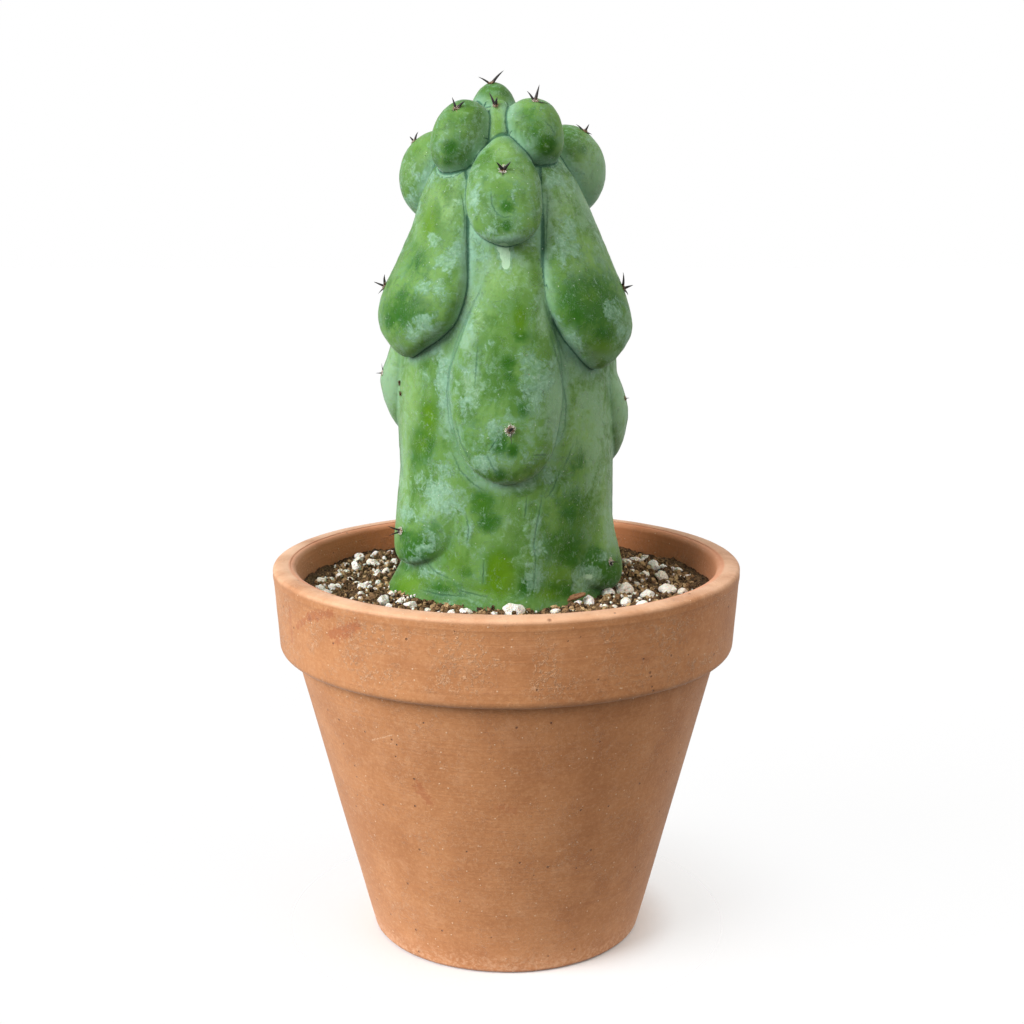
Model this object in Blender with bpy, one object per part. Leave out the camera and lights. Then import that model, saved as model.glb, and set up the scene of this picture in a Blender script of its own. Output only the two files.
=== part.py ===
"""A boobie cactus in a terracotta pot, in metres, +Z up, origin at the centre of the pot's base.

The pot is a turned shell with a collar and a drain hole. The soil fills it to just under the lip. The cactus
is one solid: a plain stem of revolution, its tubercles raised from it by a formula, and areoles and spines
joined to them.
An azimuth is in degrees, 0 towards -Y, growing towards +X.
"""

import math
import random
from dataclasses import dataclass

import bmesh
import bpy
import numpy as np
from mathutils import Matrix, Vector
from mathutils.bvhtree import BVHTree

MM = 0.001

# Pot
RIM_RADIUS = 75 * MM
POT_HEIGHT = 123.1 * MM
BASE_RADIUS = 43.6 * MM
BASE_ROUNDING = 3 * MM
WALL = 7 * MM
FLOOR = 9 * MM
DRAIN_RADIUS = 6.5 * MM
COLLAR_BOTTOM = 96.3 * MM
COLLAR_LOW_RADIUS = 72.6 * MM
COLLAR_ROUNDING = 5 * MM
WALL_TOP_RADIUS = 68.1 * MM
LIP_WIDTH = 7.4 * MM
POT_SEGMENTS = 56

# Soil
SOIL_LEVEL = 114.6 * MM
GAP = 0.3 * MM
SOIL_SEGMENTS = 120
SOIL_RINGS = 14
GRANULES = 80
GRANULE_RADIUS = (2.6 * MM, 4.6 * MM)
GRANULE_RISE = (1.8 * MM, 3.4 * MM)
GRANULE_STRETCH = (0.7, 1)
CRUMB_RISE = 0.6 * MM
CRUMB_SPACING = 2 * MM
SOIL_SEED = 5

# Plain stem
STEM_RADIUS = 34 * MM
SHOULDER_HEIGHT = 172 * MM
DOME_HEIGHT = 93 * MM
FOOT_HEIGHT = 84 * MM
FOOT_RADIUS = 13 * MM
BURIED_FROM = 107 * MM
PLAIN_BELOW = 110 * MM
TOP_LEAN = 3 * MM
LEAN_HEIGHTS = (226 * MM, 262 * MM)
LOW_DROOP = 0.44
TOP_DROOP = 0.1
DROOP_HEIGHTS = (236 * MM, 256 * MM)
STEM_ROWS = 130
STEM_COLUMNS = 136
STEM_FACE_SHARE = 0.2
PEAK_EASE = 0.08
REACH_ROUND = 1.4

# Spines
SPINE_RADIUS = 0.55 * MM
SPINE_TIP_RADIUS = 0.12 * MM
SPINE_ROOT = 1.6 * MM
SPINE_LENGTH = (3.8 * MM, 6 * MM)
SPINE_SIDES = 4
SPINE_THICKNESS = (0.85, 1.1)
SPINE_LEAN = (28, 50)
SPINE_STRAY = 20
PAD_RADIUS = 1.7 * MM
PAD_RISE = 0.7 * MM
SPINE_SEED = 11


@dataclass
class Tubercle:
    """A drooping bump: place and size of its widest line, in millimetres, on the plain stem."""

    azimuth: float
    height: float
    half_width: float
    up: float
    down: float
    relief: float
    pointed: float = 0.3  # 0 for a round top, 1 for a pointed one
    peak: float = 1.5  # how fast the slope above the widest line falls
    edge: float = 0.5  # 0.5 for a steep rim, above 1 for one that fades out
    areole_side: float = 0
    areole_rise: float = 0
    spines: int = 3


@dataclass
class Egg:
    """A round bump: its centre's place, its half sizes and its inward tilt, in millimetres and degrees."""

    azimuth: float
    out: float
    height: float
    half_width: float
    half_length: float
    half_depth: float
    tilt: float
    areole: tuple = (0, 40)
    spines: int = 3


def whorl(kind, azimuths, **sizes):
    return [kind(azimuth=azimuth, **sizes) for azimuth in azimuths]


# Round bumps at the top: eggs round the growing tip, young strips between them, and two outer drops
EGGS = [
    Egg(-50, 14.4, 256, 9, 13.4, 9.5, 10, areole=(0, 50)),
    Egg(50, 14.4, 257.5, 9, 12.2, 9.5, 10, areole=(0, 54)),
    Egg(180, 11, 261, 9, 12, 9, 18, areole=(0, 60)),
    *whorl(Egg, (0, 120, -120), out=11.5, height=259.5, half_width=2.7, half_length=9, half_depth=4, tilt=32,
           areole=(0, 45), spines=2),
    Egg(117, 22, 247.5, 12.3, 15, 12.5, 8, areole=(8, 35)),
    Egg(-117, 22, 245, 12.3, 15, 12.5, 8, areole=(-8, 30)),
]

TUBERCLES = [
    # The front drop of the upper whorl
    Tubercle(0, 239, 11, 20, 16, 9.5, 1, 1, areole_rise=7),
    # Great hanging whorl
    Tubercle(-54, 207, 18, 44, 16, 12.3, 0.1, 1.9, areole_rise=5, areole_side=-3),
    Tubercle(48, 204, 17.6, 48, 16, 12.2, 0.1, 1.9, areole_rise=7, areole_side=4),
    Tubercle(180, 205, 19, 44, 16, 12.5, 0.1, 1.9, areole_rise=6),
    # Shield whorl
    Tubercle(0, 178, 18, 42, 27, 5.4, 0.9, 1.6, areole_rise=-7),
    Tubercle(115, 172, 14, 40, 20, 7.4, 0.9, 1.9, areole_side=-3, areole_rise=2),
    Tubercle(-115, 181, 14, 36, 18, 7.8, 0.9, 1.9, areole_side=3, areole_rise=2),
    # Lowest whorl, half merged with the stem
    Tubercle(-48, 137, 17, 20, 14, 4, 0.6, 1.6, 0.8, areole_side=-16, areole_rise=-3),
    Tubercle(60, 127, 13, 18, 10, 3.6, 0.6, 1.6, 0.8, areole_side=4, areole_rise=-2),
    Tubercle(180, 134, 15, 20, 14, 5, 0.6, 1.6, 0.6, areole_rise=-1),
]

# Soft swellings of the stem under the drops and at its foot
SWELLINGS = [
    *whorl(Tubercle, (0, 120, -120), height=190, half_width=25, up=52, down=40, relief=3, pointed=0.4,
           edge=1.6),
    Tubercle(-72, 116, 13, 9, 8, 4, 0.2, 1.2, 1.2),
    Tubercle(20, 116, 16, 9, 8, 1.5, 0.2, 1.2, 1.2),
]


def clear_scene():
    for thing in list(bpy.data.objects):
        bpy.data.objects.remove(thing, do_unlink=True)


def material(name, colour, roughness):
    made = bpy.data.materials.new(name)
    made.use_nodes = True
    shader = made.node_tree.nodes["Principled BSDF"]
    shader.inputs["Base Color"].default_value = (*colour, 1)
    shader.inputs["Roughness"].default_value = roughness
    shader.inputs["Metallic"].default_value = 0
    made.diffuse_color = (*colour, 1)
    return made


def object_from(name, mesh_editor, finish, sharp_from=math.radians(40)):
    """A named object whose mesh is the mesh editor's, with its faces turned out, shaded smooth."""
    bmesh.ops.recalc_face_normals(mesh_editor, faces=mesh_editor.faces)
    mesh = bpy.data.meshes.new(name)
    mesh_editor.to_mesh(mesh)
    mesh_editor.free()
    mesh.shade_smooth()
    mesh.set_sharp_from_angle(angle=sharp_from)
    mesh.materials.append(finish)
    made = bpy.data.objects.new(name, mesh)
    bpy.context.scene.collection.objects.link(made)
    return made


def closed_skin(rows, first_pole, last_pole):
    """A mesh editor holding rings of points joined by quads and closed by a fan at each end."""
    editor = bmesh.new()
    rings = [[editor.verts.new(point) for point in row] for row in rows]
    for lower, upper in zip(rings, rings[1:]):
        for i, corner in enumerate(lower):
            after = (i + 1) % len(lower)
            editor.faces.new((corner, lower[after], upper[after], upper[i]))
    for pole, ring in ((first_pole, rings[0]), (last_pole, rings[-1])):
        centre = editor.verts.new(pole)
        for i, corner in enumerate(ring):
            editor.faces.new((centre, corner, ring[(i + 1) % len(ring)]))
    return editor


def arc(centre, radius, start, end, steps):
    """Points in the (radius, height) plane along an arc, its angles in degrees."""
    angles = np.radians(np.linspace(start, end, steps + 1))
    return [(centre[0] + radius * math.cos(a), centre[1] + radius * math.sin(a)) for a in angles]


def wall_radius(height):
    """Outer radius of the plain wall below the collar, carried on in a straight line."""
    return BASE_RADIUS + (WALL_TOP_RADIUS - BASE_RADIUS) * height / COLLAR_BOTTOM


def inner_radius(height):
    return wall_radius(height) - WALL


def pot_profile():
    """The pot's closed outline, out along the base, up the outside, over the lip and down the inside."""
    base_corner = arc((BASE_RADIUS - BASE_ROUNDING, BASE_ROUNDING), BASE_ROUNDING, -90, -12, 3)
    collar_corner = arc(
        (COLLAR_LOW_RADIUS - COLLAR_ROUNDING, COLLAR_BOTTOM + COLLAR_ROUNDING), COLLAR_ROUNDING, -75, 0, 4
    )
    lip_radius = LIP_WIDTH / 2
    lip_centre = (RIM_RADIUS - lip_radius, POT_HEIGHT - lip_radius)
    lip = arc(lip_centre, lip_radius, 0, 160, 6)
    lip_foot = POT_HEIGHT - 2 * lip_radius
    floor_edge = inner_radius(FLOOR)
    inside = [
        (inner_radius(lip_foot), lip_foot),
        (inner_radius(FLOOR + WALL / 2), FLOOR + WALL / 2),
        (floor_edge - WALL / 2, FLOOR),
    ]
    hole = [(DRAIN_RADIUS, FLOOR), (DRAIN_RADIUS, 0)]
    wall_top = [(WALL_TOP_RADIUS, COLLAR_BOTTOM)]
    return base_corner + wall_top + collar_corner + lip + inside + hole


def turned(profile, segments):
    """A mesh editor holding the closed outline spun once round the Z axis."""
    editor = bmesh.new()
    points = [editor.verts.new((radius, 0, height)) for radius, height in profile]
    edges = [editor.edges.new((a, b)) for a, b in zip(points, points[1:] + points[:1])]
    bmesh.ops.spin(
        editor, geom=points + edges, cent=(0, 0, 0), axis=(0, 0, 1), angle=2 * math.pi,
        steps=segments, use_merge=True,
    )
    bmesh.ops.remove_doubles(editor, verts=editor.verts, dist=1e-6)
    return editor


def make_pot():
    terracotta = material("terracotta", (0.56, 0.25, 0.13), 0.85)
    return object_from("pot", turned(pot_profile(), POT_SEGMENTS), terracotta, math.radians(35))


def on_axis(azimuth, radius, height):
    """The point, or the array of points, at an azimuth in radians round the Z axis."""
    azimuth, radius, height = np.broadcast_arrays(azimuth, radius, height)
    return np.stack((radius * np.sin(azimuth), -radius * np.cos(azimuth), height), axis=-1)


def stem_outline(rows):
    """Radius and height of the plain stem at even steps from its buried foot to its tip."""
    angle = np.linspace(0, math.pi / 2, 300)
    dome_radius = STEM_RADIUS * np.cos(angle)
    dome_height = SHOULDER_HEIGHT + DOME_HEIGHT * np.sin(angle)
    radius = np.concatenate(([0, FOOT_RADIUS, STEM_RADIUS], dome_radius))
    height = np.concatenate(([FOOT_HEIGHT, FOOT_HEIGHT, BURIED_FROM], dome_height))
    along = np.concatenate(([0], np.cumsum(np.hypot(np.diff(radius), np.diff(height)))))
    steps = np.linspace(0, along[-1], rows + 2)[1:-1]
    return np.interp(steps, along, radius), np.interp(steps, along, height)


def dome_frame(azimuth, height):
    """Point, sideways, upward and outward directions on the plain stem at one azimuth and height."""
    raised = min(max((height - SHOULDER_HEIGHT) / DOME_HEIGHT, 0), 0.999)
    radius = STEM_RADIUS * math.sqrt(1 - raised**2)
    slope = np.array((radius / STEM_RADIUS**2, raised / DOME_HEIGHT))
    out_level, out_up = slope / np.linalg.norm(slope)
    level = np.array((math.sin(azimuth), -math.cos(azimuth), 0))
    sideways = np.array((math.cos(azimuth), math.sin(azimuth), 0))
    outward = level * out_level + np.array((0, 0, out_up))
    upward = np.array((0, 0, out_level)) - level * out_up
    return level * radius + np.array((0, 0, height)), sideways, upward, outward


def tubercle_lift(bump, points):
    """How far a tubercle raises each of the plain stem's points, zero outside its outline."""
    centre, sideways, upward, outward = dome_frame(math.radians(bump.azimuth), bump.height * MM)
    away = (points - centre) / MM
    across, along, behind = away @ sideways, away @ upward, away @ outward
    above = np.clip(along / bump.up, 0, 1)
    below = np.clip(-along / bump.down, 0, 1)
    neck = (1 - above ** (2 - 0.6 * bump.pointed)) ** (0.5 + 0.3 * bump.pointed)
    width = bump.half_width * np.where(along > 0, neck, np.sqrt(1 - below**2)) + 1e-6
    rounded = (np.hypot(above, PEAK_EASE) - PEAK_EASE) / (math.hypot(1, PEAK_EASE) - PEAK_EASE)
    swell = np.where(along > 0, (1 - rounded) ** bump.peak, np.sqrt(1 - below**2))
    inside = np.clip(1 - (across / width) ** 2, 0, 1)
    near = behind > -REACH_ROUND * bump.half_width
    return bump.relief * MM * swell * inside**bump.edge * near


def egg_frame(egg):
    """An egg's centre and its sideways, lengthwise and outward directions."""
    azimuth, tilt = math.radians(egg.azimuth), math.radians(egg.tilt)
    level = np.array((math.sin(azimuth), -math.cos(azimuth), 0))
    sideways = np.array((math.cos(azimuth), math.sin(azimuth), 0))
    upright = np.array((0, 0, 1))
    lengthwise = upright * math.cos(tilt) - level * math.sin(tilt)
    outward = level * math.cos(tilt) + upright * math.sin(tilt)
    return (level * egg.out + upright * egg.height) * MM, sideways, lengthwise, outward


def egg_lift(egg, points, outward):
    """How far along their outward directions the plain stem's points lie under an egg's far side."""
    centre, *directions = egg_frame(egg)
    sizes = np.array((egg.half_width, egg.half_length, egg.half_depth)) * MM
    start = (points - centre) @ np.stack(directions, axis=-1) / sizes
    way = outward @ np.stack(directions, axis=-1) / sizes
    a = (way * way).sum(axis=-1)
    b = (start * way).sum(axis=-1)
    c = (start * start).sum(axis=-1) - 1
    under_root = b * b - a * c
    far = (-b + np.sqrt(np.clip(under_root, 0, None))) / a
    return np.where(under_root > 0, np.clip(far, 0, None), 0)


def faded(height, low, high):
    """0 below the lower height, 1 above the upper one, smooth between."""
    share = np.clip((height - low) / (high - low), 0, 1)
    return share * share * (3 - 2 * share)


def stem_surface(azimuth, radius, height):
    """The cactus's skin over points of the plain stem, given by azimuth in radians, radius and height."""
    plain = on_axis(azimuth, radius, height)
    raised = np.clip((height - SHOULDER_HEIGHT) / DOME_HEIGHT, 0, 0.9999)
    level, up = np.sqrt(1 - raised**2) / STEM_RADIUS, raised / DOME_HEIGHT
    size = np.hypot(level, up)
    level, up = level / size, up / size
    outward = on_axis(azimuth, level, up)
    lift = np.zeros_like(radius)
    for bump in TUBERCLES + SWELLINGS:
        lift = np.maximum(lift, tubercle_lift(bump, plain))
    for egg in EGGS:
        lift = np.maximum(lift, egg_lift(egg, plain, outward))
    lift = lift * faded(height, BURIED_FROM, PLAIN_BELOW)
    droop = LOW_DROOP + (TOP_DROOP - LOW_DROOP) * faded(height, *DROOP_HEIGHTS)
    skin = plain + outward * lift[..., None]
    skin[..., 2] -= droop * lift
    skin[..., 0] -= TOP_LEAN * faded(height, *LEAN_HEIGHTS)
    return skin


def tubercle_areole(bump):
    """The skin's point over the stem at a tubercle's areole."""
    centre, sideways, upward, _ = dome_frame(math.radians(bump.azimuth), bump.height * MM)
    aimed = centre + (sideways * bump.areole_side + upward * bump.areole_rise) * MM
    raised = max((aimed[2] - SHOULDER_HEIGHT) / DOME_HEIGHT, 0)
    radius = STEM_RADIUS * math.sqrt(1 - raised**2)
    azimuth = math.atan2(aimed[0], -aimed[1])
    return stem_surface(np.array([azimuth]), np.array([radius]), np.array([aimed[2]]))[0]


def egg_areole(egg):
    """The point at an egg's areole, given by its angles sideways and up from the egg's middle."""
    centre, sideways, lengthwise, outward = egg_frame(egg)
    side, rise = (math.radians(angle) for angle in egg.areole)
    place = centre - np.array((TOP_LEAN * faded(centre[2], *LEAN_HEIGHTS), 0, 0))
    place += sideways * math.sin(side) * math.cos(rise) * egg.half_width * MM
    place += lengthwise * math.sin(rise) * egg.half_length * MM
    return place + outward * math.cos(side) * math.cos(rise) * egg.half_depth * MM


def make_stem(finish):
    """The stem and its tubercles, their fine grid thinned to a faceted skin that keeps the creases."""
    radius, height = stem_outline(STEM_ROWS)
    azimuth = np.arange(STEM_COLUMNS) * 2 * math.pi / STEM_COLUMNS
    turn, radii = np.meshgrid(azimuth, radius)
    heights = np.repeat(height[:, None], STEM_COLUMNS, axis=1)
    rows = stem_surface(turn, radii, heights)
    tip = rows[-1].mean(axis=0)
    stem = object_from("cactus", closed_skin(rows, (0, 0, FOOT_HEIGHT), tip), finish, math.radians(60))
    thinned = stem.modifiers.new("thinned", "DECIMATE")
    thinned.ratio = STEM_FACE_SHARE
    apply_modifiers(stem)
    return stem


def apply_modifiers(thing):
    with bpy.context.temp_override(object=thing, active_object=thing, selected_objects=[thing]):
        for modifier in list(thing.modifiers):
            bpy.ops.object.modifier_apply(modifier=modifier.name)


def spine(length, radius):
    """A four-sided needle up the Z axis, its root below the origin."""
    editor = bmesh.new()
    root = Matrix.Translation((0, 0, (length - SPINE_ROOT) / 2))
    bmesh.ops.create_cone(
        editor, cap_ends=True, segments=SPINE_SIDES, radius1=radius, radius2=SPINE_TIP_RADIUS,
        depth=length + SPINE_ROOT, matrix=root,
    )
    return editor


def pad():
    """The areole's wool, a low round cushion sunk into the skin."""
    editor = bmesh.new()
    flat = Matrix.Diagonal((PAD_RADIUS, PAD_RADIUS, PAD_RISE, 1))
    bmesh.ops.create_uvsphere(editor, u_segments=8, v_segments=5, radius=1, matrix=flat)
    return editor


def areole_pieces(place, outward, spines, draw, finish):
    """One areole's wool and spines, each a closed object placed on the skin."""
    upright = outward.to_track_quat("Z", "Y").to_matrix().to_4x4()
    seat = Matrix.Translation(place) @ upright
    pieces = [object_from("wool", pad(), finish)]
    pieces[0].matrix_world = seat
    start = draw.uniform(0, 360)
    for i in range(spines):
        length = draw.uniform(*SPINE_LENGTH)
        lean = Matrix.Rotation(math.radians(draw.uniform(*SPINE_LEAN)), 4, "X")
        turn = start + i * 360 / spines + draw.uniform(-SPINE_STRAY, SPINE_STRAY)
        roll = Matrix.Rotation(math.radians(turn), 4, "Z")
        needle = object_from("needle", spine(length, SPINE_RADIUS * draw.uniform(*SPINE_THICKNESS)), finish)
        needle.matrix_world = seat @ roll @ lean
        pieces.append(needle)
    return pieces


def make_cactus():
    """The stem with every areole's wool and spines joined to it as one body."""
    skin = material("cactus_skin", (0.10, 0.26, 0.09), 0.5)
    stem = make_stem(skin)
    draw = random.Random(SPINE_SEED)
    joined = bpy.data.collections.new("areoles")
    bpy.context.scene.collection.children.link(joined)
    seats = [(egg_areole(egg), egg.spines) for egg in EGGS]
    seats += [(tubercle_areole(bump), bump.spines) for bump in TUBERCLES]
    surface = BVHTree.FromObject(stem, bpy.context.evaluated_depsgraph_get())
    for aimed, spines in seats:
        place, outward, _, _ = surface.find_nearest(Vector(aimed))
        for piece in areole_pieces(place, outward, spines, draw, skin):
            bpy.context.scene.collection.objects.unlink(piece)
            joined.objects.link(piece)
    union = stem.modifiers.new("areoles", "BOOLEAN")
    union.operation = "UNION"
    union.solver = "EXACT"
    union.operand_type = "COLLECTION"
    union.collection = joined
    bpy.context.view_layer.update()
    apply_modifiers(stem)
    for piece in list(joined.objects):
        bpy.data.objects.remove(piece, do_unlink=True)
    bpy.data.collections.remove(joined)
    return stem


def stem_footprint(azimuths):
    """How far out the stem reaches above its buried taper and under the highest granule, for each azimuth."""
    between = math.pi / len(azimuths)
    heights = np.linspace(BURIED_FROM, SOIL_LEVEL + 12 * MM, 60)[:, None]
    reach = np.full(len(azimuths), STEM_RADIUS)
    for shift in (-between, 0, between):
        turn, height = np.broadcast_arrays(azimuths[None, :] + shift, heights)
        skin = stem_surface(turn, np.full(turn.shape, STEM_RADIUS), height)
        low = skin[..., 2] < SOIL_LEVEL + GRANULE_RISE[1]
        reach = np.maximum(reach, (np.hypot(skin[..., 0], skin[..., 1]) * low).max(axis=0))
    return reach


def soil_relief(azimuth, radius, draw, inner):
    """Height of the soil's crumbs and perlite over its level at each of its top's points."""
    x, y = radius * np.sin(azimuth), -radius * np.cos(azimuth)
    rise = CRUMB_RISE * np.sin(x / CRUMB_SPACING) * np.cos((y + x / 3) / CRUMB_SPACING)
    outer = inner_radius(SOIL_LEVEL)
    for _ in range(GRANULES):
        size = draw.uniform(*GRANULE_RADIUS)
        turn = draw.uniform(0, 2 * math.pi)
        near = float(np.interp(turn, azimuth[0], inner, period=2 * math.pi))
        out = math.sqrt(draw.uniform((near + size) ** 2, (outer - size) ** 2))
        stretch = draw.uniform(*GRANULE_STRETCH)
        away = np.hypot((x - out * math.sin(turn)) / size, (y + out * math.cos(turn)) / (size * stretch))
        top = draw.uniform(*GRANULE_RISE)
        rise = np.maximum(rise, np.where(away < 1, top * np.sqrt(np.clip(1 - away**2, 0, 1)), rise))
    return rise


def make_soil():
    """The soil bed: up the pot's inner wall, across its crumbled top and down round the buried stem."""
    draw = random.Random(SOIL_SEED)
    azimuth = np.arange(SOIL_SEGMENTS) * 2 * math.pi / SOIL_SEGMENTS
    clearance = GAP * 1.5
    hole = stem_footprint(azimuth) + clearance
    share = np.linspace(1, 0, SOIL_RINGS)[:, None]
    outer = inner_radius(SOIL_LEVEL) - GAP
    radius = hole + share * (outer - hole)
    turn = np.repeat(azimuth[None, :], SOIL_RINGS, axis=0)
    rise = soil_relief(turn, radius, draw, hole)
    rise[0] = 0
    rise[-1] = np.minimum(rise[-1], 0)
    top = on_axis(turn, radius, SOIL_LEVEL + rise)
    floor = FLOOR + GAP
    bevel = WALL / 2
    wall = [
        on_axis(azimuth, inner_radius(floor) - bevel - GAP, floor),
        on_axis(azimuth, inner_radius(floor + bevel) - GAP, floor + bevel),
    ]
    pocket = [
        on_axis(azimuth, hole, BURIED_FROM),
        on_axis(azimuth, FOOT_RADIUS + clearance, FOOT_HEIGHT - clearance),
    ]
    rows = wall + list(top) + pocket
    earth = material("potting_soil", (0.11, 0.07, 0.045), 0.95)
    editor = closed_skin(rows, (0, 0, floor), (0, 0, FOOT_HEIGHT - clearance))
    return object_from("soil", editor, earth, math.radians(50))


def main():
    clear_scene()
    make_pot()
    make_cactus()
    make_soil()


if __name__ == "__main__":
    main()
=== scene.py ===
"""The looks of a potted boobie cactus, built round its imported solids, in metres, +Z up."""

import math

import bpy
import numpy as np
from mathutils import Matrix, Quaternion, Vector
from mathutils.bvhtree import BVHTree


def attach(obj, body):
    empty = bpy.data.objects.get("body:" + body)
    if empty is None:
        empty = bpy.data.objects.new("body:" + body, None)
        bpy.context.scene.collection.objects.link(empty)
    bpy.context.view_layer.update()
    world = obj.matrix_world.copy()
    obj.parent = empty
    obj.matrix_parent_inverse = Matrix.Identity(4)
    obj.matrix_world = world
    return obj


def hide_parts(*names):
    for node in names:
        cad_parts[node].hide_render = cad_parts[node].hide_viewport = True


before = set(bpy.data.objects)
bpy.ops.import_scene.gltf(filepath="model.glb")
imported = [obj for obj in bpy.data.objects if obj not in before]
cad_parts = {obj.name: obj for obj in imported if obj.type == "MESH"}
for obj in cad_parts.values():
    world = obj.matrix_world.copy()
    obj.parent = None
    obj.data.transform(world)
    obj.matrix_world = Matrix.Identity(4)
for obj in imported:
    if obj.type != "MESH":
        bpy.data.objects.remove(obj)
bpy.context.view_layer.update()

# The view: the photograph's camera, a little above the rim of the pot and looking slightly down at it.
# The picture is taken to be 1024 pixels wide and high.
PICTURE = 1024
VIEW_FROM = Vector((0, -0.51558, 0.24395))
LOOKING_DOWN = math.radians(11.585)
FORWARD = Vector((0, math.cos(LOOKING_DOWN), -math.sin(LOOKING_DOWN)))
UPWARD = Vector((0, math.sin(LOOKING_DOWN), math.cos(LOOKING_DOWN)))
bpy.ops.object.camera_add(location=VIEW_FROM, rotation=(math.pi / 2 - LOOKING_DOWN, 0, 0))
camera = bpy.context.object
camera.name = "camera"
camera.data.sensor_width = 36
camera.data.lens = 57.46
camera.data.shift_x = 0.0054
bpy.context.scene.camera = camera
MIDDLE_COLUMN = PICTURE * (0.5 - camera.data.shift_x)
FOCAL_PIXELS = PICTURE * camera.data.lens / camera.data.sensor_width


def sight_line(column, row):
    """Direction from the camera through a pixel of the picture."""
    right, up = (column - MIDDLE_COLUMN) / FOCAL_PIXELS, (PICTURE / 2 - row) / FOCAL_PIXELS
    return (FORWARD + UPWARD * up + Vector((right, 0, 0))).normalized()


# The pot: a standard clay flower pot, turned on a wheel, with a thick collar, a soft lip and a drain hole.
# It is one piece of unglazed fired terracotta, a little uneven, mottled, scratched and rubbed.
MM = 0.001
WALL_LOW, WALL_HIGH, COLLAR_BOTTOM = 44, 68.4, 95.5
WALL_THICKNESS, FLOOR_THICKNESS, DRAIN_RADIUS = 7, 9, 6.5
POT_STEPS = 288


def wall_radius(height):
    """Outer radius of the wall below the collar, in millimetres, carried on in a straight line."""
    return WALL_LOW + (WALL_HIGH - WALL_LOW) * height / COLLAR_BOTTOM


def arc(centre, radius, start, end, steps):
    """Points along an arc in the radius and height plane, its angles in degrees."""
    angles = np.radians(np.linspace(start, end, steps + 1))
    return [(centre[0] + radius * math.cos(a), centre[1] + radius * math.sin(a)) for a in angles]


def add_primitive(operator, name, **sizes):
    """A new primitive, with nothing else selected."""
    bpy.ops.object.select_all(action="DESELECT")
    operator(**sizes)
    made = bpy.context.object
    made.name = name
    return made


def add_turned(name, outline, steps):
    """A closed outline drawn point by point, spun once round the Z axis."""
    first = Vector((outline[0][0], 0, outline[0][1])) * MM
    made = add_primitive(bpy.ops.mesh.primitive_plane_add, name, size=MM, location=first)
    bpy.ops.object.mode_set(mode="EDIT")
    bpy.ops.mesh.merge(type="CENTER")
    for near, far in zip(outline, outline[1:] + outline[:1]):
        step = Vector((far[0] - near[0], 0, far[1] - near[1])) * MM
        bpy.ops.mesh.extrude_region_move(TRANSFORM_OT_translate={"value": step})
    bpy.ops.mesh.select_all(action="SELECT")
    bpy.ops.mesh.remove_doubles(threshold=1e-6)
    bpy.ops.mesh.spin(steps=steps, angle=2 * math.pi, center=(0, 0, 0), axis=(0, 0, 1))
    bpy.ops.mesh.select_all(action="SELECT")
    bpy.ops.mesh.remove_doubles(threshold=1e-6)
    bpy.ops.mesh.normals_make_consistent(inside=False)
    bpy.ops.object.mode_set(mode="OBJECT")
    bpy.ops.object.transform_apply(location=True, rotation=True, scale=True)
    return made


def apply_modifier(piece, name, kind, **settings):
    """Gives a piece a modifier with these settings, and applies it."""
    added = piece.modifiers.new(name, kind)
    for setting, value in settings.items():
        setattr(added, setting, value)
    bpy.context.view_layer.objects.active = piece
    bpy.ops.object.modifier_apply(modifier=added.name)


def add_unevenness(piece, size, strength, **where):
    """Pushes a piece's surface in and out by a cloudy pattern of that size, in millimetres."""
    clouds = bpy.data.textures.new("clouds", "CLOUDS")
    clouds.noise_scale = size * MM
    apply_modifier(piece, "unevenness", "DISPLACE", texture=clouds, strength=strength * MM, **where)


pot_outline = [(DRAIN_RADIUS, 0), (20, 0), (32, 0)]
pot_outline += arc((WALL_LOW - 1.3, 1.6), 1.6, -90, -12, 5)
pot_outline += [(wall_radius(h), h) for h in (10, 22, 34, 46, 58, 70, 80, 88)]
pot_outline += [(wall_radius(92.5), 92.5), (67.9, 94.4), (68.4, 95.2), (69.4, COLLAR_BOTTOM)]
pot_outline += arc((70.9, 97.9), 2.4, -90, 0, 6)
pot_outline += [(73.5, 101), (73.75, 105), (74.05, 109), (74.35, 113), (74.65, 117)]
pot_outline += [(74.86, 119.1), (74.94, 119.35), (75, 119.8), (74.96, 121.3)]
pot_outline += arc((73.7, 121.45), 1.3, 0, 78, 4)
pot_outline += [(72.6, 122.95), (71, 123.1), (69.6, 122.9)]
pot_outline += arc((69.4, 120.8), 2, 80, 172, 4)
pot_outline += [(wall_radius(h) - WALL_THICKNESS, h) for h in (117.5, 113, 104, 90, 70, 50, 30, 16, 12.5)]
pot_outline += [(r, FLOOR_THICKNESS) for r in (wall_radius(FLOOR_THICKNESS) - 10.5, 20, DRAIN_RADIUS)]
pot = add_turned("clay_pot", pot_outline, POT_STEPS)
add_unevenness(pot, 38, 0.35)
add_unevenness(pot, 7, 0.12)
bpy.ops.object.shade_smooth_by_angle(angle=math.radians(50))


class Value:
    """A number, colour or vector on its way through shader nodes. Arithmetic on a number adds Math nodes."""

    def __init__(self, nodes, socket):
        self.nodes, self.socket = nodes, socket

    def math(self, operation, *others):
        return self.nodes.node("Math", {"operation": operation}, dict(enumerate((self, *others))))

    def __add__(self, other):
        return self.math("ADD", other)

    def __mul__(self, other):
        return self.math("MULTIPLY", other)

    def __sub__(self, other):
        return self.math("SUBTRACT", other)

    def __rsub__(self, other):
        return self * -1 + other

    def __abs__(self):
        return self.math("ABSOLUTE")

    __radd__, __rmul__ = __add__, __mul__


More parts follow.
